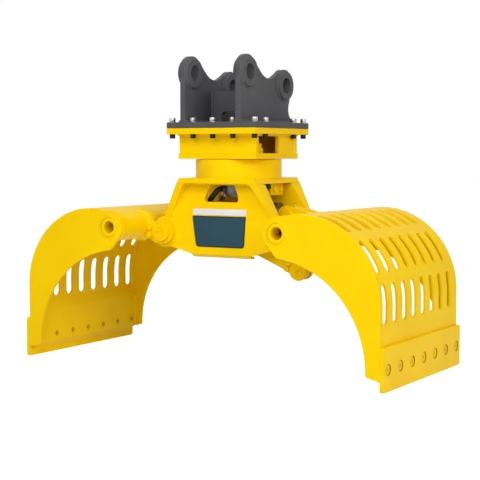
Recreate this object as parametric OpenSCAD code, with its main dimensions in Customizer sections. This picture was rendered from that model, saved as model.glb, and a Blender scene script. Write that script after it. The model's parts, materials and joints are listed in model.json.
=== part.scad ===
// Hydraulic clamshell grapple for a small excavator, hung from a pinned bracket through a slewing neck.
// X is the opening direction of the jaws, -Y the front, Z up. The slewing axis is the Z axis and the
// blade edges stand on z = 0 with the jaws fully open. Millimetres.

/* [Bracket] */
// Width of the base plate along X
base_w = 257; // [240:1:300]
// Depth of the base plate along Y
base_d = 276; // [264:1:310]
// Thickness of the base plate
base_t = 15; // [10:0.5:20]
// Half distance between the centres of the two lug plates
lug_x = 80.3; // [70:0.1:88]
// Thickness of a lug plate
lug_t = 14; // [8:0.5:20]
// Outer diameter of the pin bosses
boss_od = 76; // [64:1:80]
// Length of a pin boss
boss_len = 29; // [20:1:40]
// Diameter of the dipper and link pins
pin_bore = 40; // [30:1:45]
// Place of the front pin along Y
front_pin_y = -100; // [-104:1:-90]
// Height of the front pin above the base plate
front_pin_h = 122; // [110:1:130]
// Place of the rear pin along Y
rear_pin_y = 82; // [72:1:90]
// Height of the rear pin above the base plate
rear_pin_h = 95; // [80:1:105]
// Thickness of the plate between the lugs
cross_t = 12; // [8:1:20]

/* [Adapter and slewing neck] */
// Thickness of the adapter flange
flange_t = 15; // [10:0.5:20]
// How far the adapter box stands in from the ends of its flange
box_inset_x = 16.5; // [15.5:0.5:20]
// How far the adapter box stands in from the front and rear of its flange
box_inset_y = 33; // [30:1:38]
// Height of the adapter box walls
box_h = 53; // [45:1:70]
// Wall of the adapter box
box_wall = 10; // [6:1:12]
// Thickness of the plate under the adapter box
box_floor_t = 8.5; // [6:0.5:14]
// Outer diameter of the slewing neck
neck_od = 219.6; // [212:0.1:222]
// Height of the slewing neck
neck_h = 47; // [40:1:60]
// Bore of the slewing neck
neck_bore = 184; // [170:1:188]

/* [Housing] */
// Width of the top plate along X
top_w = 217; // [214:1:230]
// Depth of the top plate along Y
top_d = 226.6; // [222:0.2:240]
// Thickness of the top plate
top_t = 13.5; // [10:0.5:18]
// Thickness of the front and rear panels
panel_t = 12; // [8:1:14]
// Half distance over the outer faces of the two panels
panel_y = 90; // [88:0.5:92]
// How far each panel leans inward at its top
panel_lean = 11; // [6:1:14]
// Horizontal width of the sloping edge ribs
rib_w = 20; // [14:1:26]
// Slope of the edge ribs, sideways run for each unit of drop
rib_slope = 0.6; // [0.5:0.02:0.66]
// Thickness of the bottom plate
bottom_t = 6; // [4:1:8]

/* [Jaws] */
// Overall width of a jaw
jaw_w = 460; // [440:2:520]
// Outer radius of the jaw shell
shell_r = 204; // [201:1:206]
// Thickness of the jaw shell
shell_t = 9; // [6:0.5:11]
// Thickness of a side plate
side_t = 10; // [6:1:14]
// Outer diameter of the cross tube
tube_od = 70.8; // [66:0.2:71]
// Outer diameter of the tube ends that pass through the side plates
spigot_od = 53; // [46:0.5:58]
// Bore of the tube ends
tube_bore = 30.5; // [20:0.5:36]
// Radius of the side plate round the cross tube
tube_head_r = 38; // [34:1:42]
// Thickness of the arm plates
arm_t = 12; // [8:1:14]
// Radius of the arm plates round the pivot
arm_head_r = 31; // [27:1:33]
// Radius of the arm plates round the cross tube
arm_tube_r = 39.5; // [38:0.5:44]
// Number of slots across the shell
slot_columns = 8; // [6:1:9]
// Distance of the outermost slots from the ends of the jaw
slot_edge = 41; // [36:1:46]
// Width of a slot
slot_w = 16; // [12:0.5:22]

/* [Cutting edge] */
// Thickness of the lip plate that carries the blade
lip_t = 14; // [10:1:18]
// Height of the lip plate's top above the ground
lip_top = 122; // [114:1:128]
// Thickness of the bolt-on blade
blade_t = 10; // [8:1:14]
// Height of the blade
blade_h = 102; // [90:1:110]
// Number of blade bolts
blade_bolts = 7; // [5:1:8]
// Distance of the outermost bolts from the ends of the blade
blade_edge = 26; // [24:1:40]
// Height of the blade bolts above the edge
blade_bolt_z = 50.5; // [42:0.5:60]
// Diameter of a countersunk bolt head
bolt_head_d = 25; // [22:1:28]
// Shank diameter of a blade bolt
bolt_d = 14; // [12:1:16]
// How far a bolt head lies under the face of the blade
bolt_sink = 2; // [1:0.5:3]

/* [Pivots] */
// Half distance between the jaw pivots
pivot_x = 165; // [162:0.5:168]
// Height of the jaw pivots above the ground
pivot_z = 332; // [330:0.5:334]
// Diameter of the jaw pivot pins
pivot_d = 40; // [30:1:42]
// Radial clearance of a pin in its bush
run_gap = 0.05; // [0.02:0.01:0.1]
// Clearance between a tube and the plate hole it is welded in
weld_gap = 0.2; // [0.1:0.05:0.3]
// Clearance between plates that slide past each other
side_gap = 0.3; // [0.2:0.05:0.6]

/* [Cylinder] */
// Outer diameter of the cylinder barrel
barrel_od = 60; // [54:1:62]
// Bore of the cylinder barrel
barrel_bore = 50; // [42:1:50]
// Diameter of the piston rod
rod_d = 30; // [24:1:34]
// Centre plane of the cylinder along Y
cyl_y = 30; // [29:0.5:32]
// Width of the eyes at both ends
eye_w = 24; // [20:1:26]
// Diameter of the cylinder pins
cyl_pin_d = 25; // [20:1:28]

/* [Synchronising link] */
// Thickness of the link
link_t = 20; // [14:1:22]
// Height of the link bar
link_h = 30; // [24:1:34]
// Radius of the link eyes
link_eye_r = 22; // [20:1:24]
// Diameter of the link pins
link_pin_d = 28; // [22:1:30]

/* [Hidden] */
$fn = 64;

yellow = [0.98, 0.82, 0.08];
steel_grey = [0.35, 0.35, 0.36];
zinc = [0.78, 0.77, 0.72];
black = [0.1, 0.1, 0.1];
bright = [0.85, 0.86, 0.88];
bronze = [0.72, 0.55, 0.3];

// Jaw frame: the arc centre and the cross tube, measured from the pivot
arc_reach = 135;
arc_drop = 142;
tube_reach = 75.8;
tube_rise = 15.6;
arc_x = pivot_x + arc_reach;
arc_z = pivot_z - arc_drop;
tube_x = pivot_x + tube_reach;
tube_z = pivot_z + tube_rise;
wall_x = arc_x + shell_r;
jaw_in = jaw_w / 2 - side_t;
slot_pitch = (jaw_w - 2 * slot_edge) / (slot_columns - 1);
blade_pitch = (jaw_w - 2 * blade_edge) / (blade_bolts - 1);

// Heights, from the housing upward
top_z = pivot_z + 138.5;
neck_top = top_z + neck_h;
floor_z = neck_top + 1;
box_z = floor_z + box_floor_t;
flange_z = box_z + box_h;
base_z = flange_z + flange_t;
base_top = base_z + base_t;
front_pin_z = base_top + front_pin_h;
rear_pin_z = base_top + rear_pin_h;
deck_z = top_z - top_t;

// Cylinder eyes: both sit 55 from their pivot, 32.5 degrees inward of the vertical when open
ear_r = 55;
ear_angle = 33;
ear_x = pivot_x - ear_r * sin(ear_angle);
ear_z = pivot_z + ear_r * cos(ear_angle);

// Link pins: lower one on the right jaw, upper one on the left jaw
link_ax = pivot_x + 31;
link_az = pivot_z - 89;
link_bx = 91.5 - pivot_x;
link_bz = pivot_z + 25;
link_y = -27;
link_len = sqrt(pow(link_ax - link_bx, 2) + pow(link_az - link_bz, 2));
link_tilt = atan2(link_bz - link_az, link_bx - link_ax);
link_ear_t = 12;
link_ear_y = link_y + link_t / 2 + 2;

box_w = base_w - 2 * box_inset_x;
box_d = base_d - 2 * box_inset_y;
arm_y = panel_y + 4;
boss_gap = side_gap;

function on_arc(cx, cz, r, a) = [cx + r * cos(a), cz + r * sin(a)];

// Lays a flat outline drawn in X and Z so that it spans from y0 to y0 + t
module upright(y0, t) {
  translate([0, y0 + t, 0]) rotate([90, 0, 0]) linear_extrude(t) children();
}

// Both sides of the slewing plane
module front_and_rear() {
  children();
  mirror([0, 1, 0]) children();
}

module hex_prism(across, h) {
  cylinder(h = h, d = across / cos(30), $fn = 6);
}

// Plates round two pins, joined by a web that is tangent to both heads
module two_head_web(p, rp, q, rq) {
  d = sqrt(pow(q[0] - p[0], 2) + pow(q[1] - p[1], 2));
  dir = atan2(q[1] - p[1], q[0] - p[0]);
  lean = acos((rp - rq) / d);
  tuck = 0.1;
  translate(p) circle(rp);
  translate(q) circle(rq);
  polygon([
    on_arc(p[0], p[1], rp - tuck, dir + lean), on_arc(q[0], q[1], rq - tuck, dir + lean),
    on_arc(q[0], q[1], rq - tuck, dir - lean), on_arc(p[0], p[1], rp - tuck, dir - lean)]);
}

// Bracket

lug_front_r = 43;
lug_rear_r = 41;
lug_base_rear = base_d / 2 - 20;
bracket_bolt_x = 58;
bracket_bolt_y = 72;
bolt_inset_x = 8.7;
bolt_inset_y = 14;
bracket_bolt_d = 8;
bracket_hex = 13;
hose_way = 70;

module lug_outline() {
  fy = front_pin_y;
  fz = front_pin_h;
  ry = rear_pin_y;
  rz = rear_pin_h;
  difference() {
    union() {
      translate([fy, fz]) circle(lug_front_r);
      translate([ry, rz]) circle(lug_rear_r);
      polygon([[-base_d / 2, 0], [lug_base_rear, 0], [ry + 24, rz - 46], [ry + lug_rear_r, rz],
        [ry - 10, rz + lug_rear_r - 2], [fy + 14, fz + lug_front_r - 3], [fy - lug_front_r + 1, fz]]);
    }
    // Hollow between the two ears
    translate([ry - 78, fz + 63]) circle(66);
    // Waist under the rear ear
    translate([ry + 53, rz - 59]) circle(31);
    translate([-base_d / 2 - 40, -1]) square([40, fz + 60]);
  }
}

module lug_plate(side) {
  color(steel_grey)
  difference() {
    translate([side * lug_x - lug_t / 2, 0, base_top])
      rotate([90, 0, 90]) linear_extrude(lug_t) lug_outline();
    for (p = [[front_pin_y, front_pin_z], [rear_pin_y, rear_pin_z]])
      translate([side * lug_x - lug_t, p[0], p[1]])
        rotate([0, 90, 0]) cylinder(h = 2 * lug_t, d = boss_od - 10 + 2 * weld_gap);
  }
}

module lug_plate_right() { lug_plate(1); }
module lug_plate_left() { lug_plate(-1); }

// Each boss is a turned bush with a shoulder on both faces of the lug plate
module lug_bosses() {
  color(steel_grey)
  for (side = [-1, 1])
    for (p = [[front_pin_y, front_pin_z], [rear_pin_y, rear_pin_z]])
      translate([side * lug_x, p[0], p[1]]) rotate([0, 90, 0])
        difference() {
          union() {
            cylinder(h = boss_len, d = boss_od - 10, center = true);
            translate([0, 0, lug_t / 2]) cylinder(h = (boss_len - lug_t) / 2, d1 = boss_od, d2 = boss_od - 4);
            translate([0, 0, -boss_len / 2])
              cylinder(h = (boss_len - lug_t) / 2, d1 = boss_od - 4, d2 = boss_od);
          }
          cylinder(h = boss_len + 2, d = pin_bore, center = true);
        }
}

cross_y = -4;
cross_h = 81;
notch_w = 90;
notch_h = 29;

module lug_cross_plate() {
  half = lug_x - lug_t / 2;
  color(steel_grey)
  translate([0, 0, base_top]) upright(cross_y - cross_t / 2, cross_t)
    difference() {
      translate([-half, 0]) square([2 * half, cross_h]);
      translate([-notch_w / 2, -1]) square([notch_w, notch_h - 8]);
      for (s = [-1, 1]) translate([s * (notch_w / 2 - 10), notch_h - 10]) circle(10);
      translate([-notch_w / 2 + 10, -1]) square([notch_w - 20, notch_h + 1]);
    }
}

function bolt_places() =
  let (ex = base_w / 2 - bolt_inset_x, ey = base_d / 2 - bolt_inset_y)
  concat(
    [for (x = [-ex, -bracket_bolt_x, 0, bracket_bolt_x, ex], y = [-ey, ey]) [x, y]],
    [for (x = [-ex, ex], y = [-bracket_bolt_y, bracket_bolt_y]) [x, y]]);

module base_plate() {
  color(steel_grey)
  difference() {
    translate([-base_w / 2, -base_d / 2, base_z]) cube([base_w, base_d, base_t]);
    for (p = bolt_places()) translate([p[0], p[1], base_z - 1])
      cylinder(h = base_t + 2, d = bracket_bolt_d + 1);
    // Way through for the supply hoses
    translate([0, 0, base_z - 1]) cylinder(h = base_t + 2, d = hose_way);
  }
}

module flange_bolts() {
  grip = base_t + flange_t;
  color(zinc)
  for (p = bolt_places()) translate([p[0], p[1], base_top]) {
    cylinder(h = 1.6, d = 16);
    translate([0, 0, 1.6]) hex_prism(bracket_hex, 5.5);
    translate([0, 0, -grip - 10]) cylinder(h = grip + 10, d = bracket_bolt_d);
  }
}

module flange_nuts() {
  color(black)
  for (p = bolt_places()) translate([p[0], p[1], flange_z - 7])
    difference() {
      hex_prism(bracket_hex, 7);
      translate([0, 0, -1]) cylinder(h = 10, d = bracket_bolt_d + 2 * weld_gap);
    }
}

// Adapter

module adapter_flange() {
  color(yellow)
  difference() {
    translate([-base_w / 2, -base_d / 2, flange_z]) cube([base_w, base_d, flange_t]);
    for (p = bolt_places()) translate([p[0], p[1], flange_z - 1])
      cylinder(h = flange_t + 2, d = bracket_bolt_d + 1);
    translate([0, 0, flange_z - 1]) cylinder(h = flange_t + 2, d = hose_way);
  }
}

window_y0 = -96;
window_y1 = 9;

module adapter_box() {
  inner_w = box_w - 2 * box_wall;
  inner_d = box_d - 2 * box_wall;
  color(yellow)
  difference() {
    translate([-box_w / 2, -box_d / 2, box_z]) cube([box_w, box_d, box_h]);
    translate([-inner_w / 2, -inner_d / 2, box_z - 1]) cube([inner_w, inner_d, box_h + 2]);
    // Service window in the right-hand wall
    translate([box_w / 2 - box_wall - 5, max(window_y0, -inner_d / 2 + 4), box_z + 2])
      cube([box_wall + 10, window_y1 - max(window_y0, -inner_d / 2 + 4), box_h - 4]);
  }
}

core_d = 60;

module adapter_floor() {
  color(yellow)
  difference() {
    translate([-box_w / 2 - 2, -box_d / 2 - 2, floor_z]) cube([box_w + 4, box_d + 4, box_floor_t]);
    translate([0, 0, floor_z - 1]) cylinder(h = box_floor_t + 2, d = core_d + 2 * weld_gap);
  }
}

shoulder_z = neck_top - 27;
shoulder_t = 10;

// The fixed ring: the neck turns on its rim and hangs on its flange
module slew_inner_ring() {
  r = neck_bore / 2 - run_gap;
  color(steel_grey)
  rotate_extrude($fn = 96)
    polygon([[core_d / 2 + weld_gap, floor_z], [r, floor_z], [r, shoulder_z - side_gap], [r + 7, shoulder_z - side_gap],
      [r + 7, shoulder_z - side_gap - shoulder_t], [r - 25, shoulder_z - side_gap - shoulder_t],
      [r - 25, floor_z - 12], [core_d / 2 + weld_gap, floor_z - 12]]);
}

swivel_low = top_z - 42;
swivel_top = box_z + 20;

module swivel_core() {
  color(steel_grey) {
    translate([0, 0, swivel_low]) cylinder(h = swivel_top - swivel_low, d = core_d);
    translate([0, 0, swivel_low - 6]) cylinder(h = 6, d = core_d + 14);
    // Two supply ports look out of the service window
    for (y = [-15, 15]) translate([core_d / 2 - 6, y, box_z + 10])
      rotate([0, 90, 0]) cylinder(h = 14, d = 18);
  }
}

// Bulkhead fittings stand on the adapter floor inside the service window
module supply_fittings() {
  color(steel_grey)
  for (p = [[84, -76], [84, -44]]) translate([p[0], p[1], box_z]) {
    cylinder(h = 10, d = 24);
    translate([0, 0, 10]) hex_prism(22, 8);
    translate([0, 0, 18]) cylinder(h = 12, d = 15);
  }
}

// Slewing neck and housing

module neck_ring() {
  r = neck_bore / 2;
  wide = r + 7 + 1;
  color(yellow)
  rotate_extrude($fn = 96)
    polygon([[wide, top_z], [neck_od / 2, top_z], [neck_od / 2, neck_top], [r, neck_top],
      [r, shoulder_z], [wide, shoulder_z]]);
}

sleeve_r = 44;

module top_plate() {
  color(yellow)
  difference() {
    translate([-top_w / 2, -top_d / 2, deck_z]) cube([top_w, top_d, top_t]);
    translate([0, 0, deck_z - 1]) cylinder(h = top_t + 2, r = sleeve_r + weld_gap);
  }
}

bend_z = pivot_z + 34;
panel_low = pivot_z - 54;
panel_flat = 86;
boss_r = 37;
outer_low = 19;
lip_drop = 8;

function rib_outer(z) = top_w / 2 + rib_slope * (top_z - z);
function panel_face(z) = panel_y - panel_lean * (z - bend_z) / (deck_z - bend_z);

module panel_lower_outline() {
  difference() {
    union() {
      polygon([[-panel_flat, panel_low], [panel_flat, panel_low], [pivot_x - 5, panel_low + outer_low],
        [pivot_x, pivot_z], [rib_outer(bend_z), bend_z], [-rib_outer(bend_z), bend_z],
        [-pivot_x, pivot_z], [5 - pivot_x, panel_low + outer_low]]);
      for (s = [-1, 1]) translate([s * pivot_x, pivot_z]) circle(boss_r);
    }
    for (s = [-1, 1]) translate([s * pivot_x, pivot_z]) circle(pivot_d / 2 + 2.5);
    translate([-pivot_x - 100, bend_z]) square([2 * pivot_x + 200, 20]);
  }
}

// Drawn in the leaning plane, with v measured up from the bend
module panel_upper_outline(k) {
  h = deck_z - bend_z;
  v = h * k;
  difference() {
    polygon([[-rib_outer(bend_z), 0], [rib_outer(bend_z), 0], [rib_outer(deck_z), v], [-rib_outer(deck_z), v]]);
    polygon([[-45, v * 0.49], [45, v * 0.49], [48.5, v * 0.52], [49.5, v * 0.6], [48, v * 0.66],
      [36, v * 0.94], [32, v * 0.97], [-32, v * 0.97], [-36, v * 0.94], [-48, v * 0.66],
      [-49.5, v * 0.6], [-48.5, v * 0.52]]);
  }
}

module panel() {
  h = deck_z - bend_z;
  tip = atan2(panel_lean, h);
  upright(-panel_y, panel_t) panel_lower_outline();
  difference() {
    translate([0, -panel_y, bend_z]) rotate([90 - tip, 0, 0]) translate([0, 0, -panel_t])
      linear_extrude(panel_t) panel_upper_outline(1 / cos(tip));
    translate([-top_w, -panel_y - 20, deck_z]) cube([2 * top_w, 60, 20]);
  }
  // Folded lower lip that carries the bottom plate
  translate([-panel_flat, 0, 0]) rotate([90, 0, 90]) linear_extrude(2 * panel_flat)
    polygon([[-panel_y, panel_low], [-panel_y + panel_t, panel_low - lip_drop],
      [-panel_y + 2 * panel_t, panel_low - lip_drop], [-panel_y + 2 * panel_t, panel_low - lip_drop + bottom_t],
      [-panel_y + panel_t, panel_low - lip_drop + bottom_t], [-panel_y + panel_t, panel_low]]);
}

module panel_front() { color(yellow) panel(); }
module panel_rear() { color(yellow) mirror([0, 1, 0]) panel(); }

rib_end = pivot_z + 38;
rib_end_y = 1.5;

module edge_rib() {
  low = rib_end;
  intersection() {
    upright(-top_d / 2 - 1, top_d / 2)
      polygon([[rib_outer(deck_z) - rib_w, deck_z], [rib_outer(deck_z), deck_z], [rib_outer(low), low],
        [rib_outer(low) - rib_w, low]]);
    translate([0, 0, 0]) rotate([90, 0, 90]) linear_extrude(2 * pivot_x)
      polygon([[-panel_face(deck_z), deck_z], [-top_d / 2, deck_z], [-panel_face(low) - rib_end_y, low],
        [-panel_face(low), low]]);
  }
}

module edge_ribs_front() {
  color(yellow) {
    edge_rib();
    mirror([1, 0, 0]) edge_rib();
  }
}

module edge_ribs_rear() {
  color(yellow) mirror([0, 1, 0]) {
    edge_rib();
    mirror([1, 0, 0]) edge_rib();
  }
}

// The plate stops short of the link's lower edge at half travel
bottom_x = 38;

module bottom_plate() {
  half = panel_y - 2 * panel_t;
  color(yellow)
  translate([-panel_flat, -half, panel_low - lip_drop]) cube([panel_flat + bottom_x, 2 * half, bottom_t]);
}

inner_boss_len = 12;

// A ring on each face of both panels round every pivot
module pivot_bosses() {
  bore = pivot_d + 5;
  color(yellow)
  front_and_rear() for (s = [-1, 1]) translate([s * pivot_x, 0, pivot_z]) rotate([90, 0, 0]) {
    translate([0, 0, panel_y]) difference() {
      cylinder(h = arm_y - panel_y - boss_gap, r = boss_r);
      translate([0, 0, -1]) cylinder(h = 20, d = bore);
    }
    translate([0, 0, panel_y - panel_t - inner_boss_len]) difference() {
      cylinder(h = inner_boss_len, r = boss_r - 5);
      translate([0, 0, -1]) cylinder(h = inner_boss_len + 2, d = bore);
    }
  }
}

module pivot_bushes() {
  low = panel_y - panel_t - inner_boss_len;
  color(bronze)
  front_and_rear() for (s = [-1, 1]) translate([s * pivot_x, 0, pivot_z]) rotate([90, 0, 0])
    translate([0, 0, low]) difference() {
      cylinder(h = arm_y - boss_gap - low, d = pivot_d + 5 - 2 * run_gap);
      translate([0, 0, -1]) cylinder(h = arm_y, d = pivot_d + 2 * run_gap);
    }
}

block_w = 24;
block_d = 62;
block_h = 30;
block_x = 76;
block_y = -9;

// Manifold block bolted under the top plate
module hose_block() {
  color(yellow) {
    translate([block_x, block_y, deck_z - block_h]) cube([block_w, block_d, block_h]);
    for (y = [6, 38]) translate([block_x + block_w, y, deck_z - 15]) rotate([0, 90, 0]) hex_prism(14, 5);
  }
}

// The turning half of the swivel, with its hose ports
module swivel_sleeve() {
  low = swivel_low + side_gap;
  color(steel_grey) {
    difference() {
      translate([0, 0, low]) cylinder(h = top_z - low, r = sleeve_r);
      translate([0, 0, low - 1]) cylinder(h = top_z - low + 2, d = core_d + 2 * run_gap);
    }
    for (a = port_angles) rotate([0, 0, a]) translate([sleeve_r - 3, 0, deck_z - port_h])
      rotate([0, 90, 0]) cylinder(h = port_reach - sleeve_r + 3, d = 18);
    // Bulkhead fitting on the inside of the front panel
    translate([panel_port[0], panel_port[1], deck_z + panel_port[2]]) rotate([90, 0, 0])
      cylinder(h = panel_face(deck_z + panel_port[2] + 9) - panel_t / cos(atan2(panel_lean, deck_z - bend_z))
        + panel_port[1] - side_gap, d = 18);
  }
}

hose_d = 14;

function bezier(p, t) = pow(1 - t, 3) * p[0] + 3 * t * pow(1 - t, 2) * p[1] + 3 * t * t * (1 - t) * p[2] + t * t * t * p[3];
function unit(v) = v / norm(v);

// A hose swept along the curve of four points
module hose(p) {
  rings = 12;
  sides = 10;
  route = [for (i = [0 : rings]) bezier(p, i / rings)];
  way = concat([unit(p[1] - p[0])], [for (i = [1 : rings - 1]) unit(route[i + 1] - route[i - 1])], [unit(p[3] - p[2])]);
  points = [for (i = [0 : rings]) let (u = unit(cross(way[i], [0.2, 0.1, 1])), v = cross(u, way[i]))
    for (j = [0 : sides - 1]) route[i] + hose_d / 2 * (cos(360 * j / sides) * u + sin(360 * j / sides) * v)];
  faces = concat(
    [[for (j = [0 : sides - 1]) j]],
    [for (i = [0 : rings - 1], j = [0 : sides - 1]) let (k = (j + 1) % sides)
      [i * sides + j, (i + 1) * sides + j, (i + 1) * sides + k, i * sides + k]],
    [[for (j = [sides - 1 : -1 : 0]) rings * sides + j]]);
  polyhedron(points, faces);
}

port_angles = [-115, -60, -35];
port_h = 14;
port_reach = sleeve_r + 8;
function port_mouth(i, d) = [(port_reach + d) * cos(port_angles[i]), (port_reach + d) * sin(port_angles[i]), deck_z - port_h];

panel_port = [-60, -58, -52];

module housing_hoses() {
  low = [panel_port[0], panel_port[1], deck_z + panel_port[2]];
  color(black) {
    hose([port_mouth(0, side_gap), port_mouth(0, 20), low + [0, 14, 0], low]);
    hose([port_mouth(1, side_gap), port_mouth(1, 24), [94, -66, deck_z - 8.5], [94, block_y - side_gap, deck_z - 8.5]]);
    hose([port_mouth(2, side_gap), port_mouth(2, 20), [82, -42, deck_z - 22.5], [82, block_y - side_gap, deck_z - 22.5]]);
  }
}

// Jaws, drawn as the right-hand one

head_out_angle = atan2(tube_z - arc_z, tube_x - arc_x);
hollow_x = pivot_x + 61;
hollow_z = pivot_z - 256;
hollow_r = 216;
lip_in = wall_x - lip_t;
lip_low = 16;
lip_bevel = 17;

// Where the side plate meets the head on its inner side
nose_x = pivot_x + 73;
nose_z = pivot_z - 41;

module side_outline() {
  head_low = on_arc(tube_x, tube_z, tube_head_r, -138);
  difference() {
    intersection() {
      union() {
        translate([arc_x, arc_z]) circle(r = shell_r, $fn = 128);
        translate([arc_x, 0]) square([shell_r, arc_z]);
      }
      polygon([[tube_x, tube_z], on_arc(arc_x, arc_z, shell_r + 30, head_out_angle),
        [wall_x + 20, arc_z + shell_r + 30], [wall_x + 20, lip_low + 8], [wall_x, lip_low + 8],
        [lip_in - 26, lip_low + 20], [lip_in - 29, lip_low + 44], [lip_in - 35, lip_low + 94],
        [lip_in - 46, lip_low + 104], [nose_x + 24, nose_z - 3], [nose_x, nose_z], head_low]);
    }
    translate([hollow_x, hollow_z]) difference() {
      circle(r = hollow_r, $fn = 128);
      translate([lip_in - 46 - hollow_x, -hollow_r]) square([hollow_r, 2 * hollow_r]);
    }
  }
  translate([tube_x, tube_z]) circle(tube_head_r);
  polygon([[tube_x, tube_z], head_low, [nose_x, nose_z], [nose_x + 24, nose_z - 3], [tube_x + 40, tube_z - 40]]);
}

module side_plate() {
  difference() {
    upright(-jaw_w / 2, side_t) side_outline();
    translate([tube_x, 0, tube_z]) rotate([90, 0, 0]) cylinder(h = jaw_w, d = spigot_od + 2 * weld_gap);
  }
}

module side_plates_right() { color(yellow) front_and_rear() side_plate(); }
module side_plates_left() { color(yellow) mirror([1, 0, 0]) front_and_rear() side_plate(); }

// The shell runs out over the top of the cross tube
shell_end = head_out_angle - 4;

module ring_sector(cx, cz, r_out, r_in, a0, a1) {
  reach = 2 * r_out;
  mid = (a0 + a1) / 2;
  difference() {
    intersection() {
      translate([cx, cz]) circle(r = r_out, $fn = 128);
      polygon([[cx, cz], on_arc(cx, cz, reach, a0), on_arc(cx, cz, reach, mid), on_arc(cx, cz, reach, a1)]);
    }
    translate([cx, cz]) circle(r = r_in, $fn = 128);
  }
}

// A slot with round ends, cut straight through along local Z
module slot_cutter(len) {
  linear_extrude(shell_t + 36) {
    square([len - slot_w, slot_w], center = true);
    for (e = [-1, 1]) translate([e * (len - slot_w) / 2, 0]) circle(d = slot_w, $fn = 32);
  }
}

// Upper two rows of slots follow the arc between two angles
module arc_slot(a0, a1) {
  translate([arc_x, 0, arc_z]) rotate([0, 90 - (a0 + a1) / 2, 0])
    translate([0, 0, shell_r - shell_t - 18]) slot_cutter(2 * shell_r * sin((a1 - a0) / 2));
}

// The lowest row starts on the straight wall and runs up on to the arc
module low_slot(z0, a1) {
  z1 = arc_z + shell_r * sin(a1);
  translate([wall_x - shell_t - 18, 0, (z0 + z1) / 2]) rotate([0, 90, 0]) slot_cutter(z1 - z0);
}

module jaw_shell() {
  difference() {
    upright(-jaw_in, 2 * jaw_in) difference() {
      intersection() {
        union() {
          translate([arc_x, arc_z]) circle(r = shell_r, $fn = 128);
          translate([arc_x, 0]) square([shell_r, arc_z]);
        }
        polygon([[arc_x, arc_z], on_arc(arc_x, arc_z, 2 * shell_r, shell_end), [wall_x + 20, arc_z + 2 * shell_r],
          [wall_x + 20, lip_top], [arc_x, lip_top]]);
      }
      translate([arc_x, arc_z]) circle(r = shell_r - shell_t, $fn = 128);
      translate([arc_x - 10, 0]) square([shell_r - shell_t + 10, arc_z]);
      translate([tube_x, tube_z]) circle(d = tube_od + 2 * weld_gap);
    }
    for (i = [0 : slot_columns - 1]) translate([0, (i - (slot_columns - 1) / 2) * slot_pitch, 0]) {
      low_slot(lip_top + 28, 14.5);
      arc_slot(21.8, 46.3);
      arc_slot(54.2, 79);
    }
  }
}

module jaw_shell_right() { color(yellow) jaw_shell(); }
module jaw_shell_left() { color(yellow) mirror([1, 0, 0]) jaw_shell(); }

// Half the section of the tube, closed at both ends by turned spigots
module jaw_tube() {
  half = jaw_w / 2 + 2;
  wall = 8;
  bung = 30;
  r = tube_od / 2;
  translate([tube_x, 0, tube_z]) rotate([90, 0, 0]) rotate_extrude()
    polygon([[tube_bore / 2, -half], [spigot_od / 2 - 4, -half], [spigot_od / 2, -half + 4], [spigot_od / 2, -jaw_in],
      [r, -jaw_in], [r, jaw_in], [spigot_od / 2, jaw_in], [spigot_od / 2, half - 4], [spigot_od / 2 - 4, half],
      [tube_bore / 2, half], [tube_bore / 2, jaw_in - bung], [r - wall, jaw_in - bung],
      [r - wall, bung - jaw_in], [tube_bore / 2, bung - jaw_in]]);
}

module jaw_tube_right() { color(yellow) jaw_tube(); }
module jaw_tube_left() { color(yellow) mirror([1, 0, 0]) jaw_tube(); }

module arm_outline() {
  translate([pivot_x, pivot_z]) circle(arm_head_r);
  difference() {
    polygon([[pivot_x, pivot_z - arm_head_r], [pivot_x, pivot_z + arm_head_r], [tube_x, tube_z + arm_tube_r],
      [tube_x, tube_z - arm_tube_r]]);
    // Hollows in the upper and lower edge of the arm
    translate([pivot_x + 12, pivot_z + 83]) circle(60);
    translate([pivot_x + 45, pivot_z - 49]) circle(30);
  }
  // The arm cradles the tube but stops where the shell comes down on it
  difference() {
    translate([tube_x, tube_z]) circle(arm_tube_r);
    translate([tube_x, tube_z]) square(arm_tube_r + 1);
  }
}

module arm() {
  difference() {
    upright(-arm_y - arm_t, arm_t) arm_outline();
    translate([tube_x, 0, tube_z]) rotate([90, 0, 0]) cylinder(h = jaw_w, d = tube_od + 2 * weld_gap);
    translate([pivot_x, 0, pivot_z]) rotate([90, 0, 0]) cylinder(h = jaw_w, d = pivot_d + 2 * run_gap);
    for (p = keeper_places()) translate([p[0], 0, p[1]]) rotate([90, 0, 0]) cylinder(h = jaw_w, d = 8.6);
  }
}

module arms_right() { color(yellow) front_and_rear() arm(); }
module arms_left() { color(yellow) mirror([1, 0, 0]) front_and_rear() arm(); }

keeper_reach = 33;
keeper_step = 17;
keeper_edge = 6.5;
keeper_t = 6;
cap_r = 24.5;
cap_t = 5;
function keeper_places() = [for (s = [-1, 1]) [pivot_x + keeper_reach, pivot_z + 2 + s * keeper_step / 2]];

// Stub pin with its cap and the flag plate that stops it turning
module pivot_pin() {
  low = panel_y - panel_t - inner_boss_len - 4;
  translate([pivot_x, 0, pivot_z]) rotate([90, 0, 0]) {
    translate([0, 0, low]) cylinder(h = arm_y + arm_t - low + keeper_t, d = pivot_d);
    translate([0, 0, arm_y + arm_t + keeper_t]) cylinder(h = cap_t, r1 = cap_r, r2 = cap_r - 1.5);
  }
  difference() {
    upright(-arm_y - arm_t - keeper_t, keeper_t) {
      translate([pivot_x, pivot_z]) circle(cap_r);
      translate([pivot_x, pivot_z + 2 - keeper_step]) square([keeper_reach + keeper_edge, 2 * keeper_step]);
    }
    for (p = keeper_places()) translate([p[0], 0, p[1]]) rotate([90, 0, 0]) cylinder(h = jaw_w, d = 8.6);
  }
}

module pivot_pins_right() { color(yellow) front_and_rear() pivot_pin(); }
module pivot_pins_left() { color(yellow) mirror([1, 0, 0]) front_and_rear() pivot_pin(); }

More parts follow.
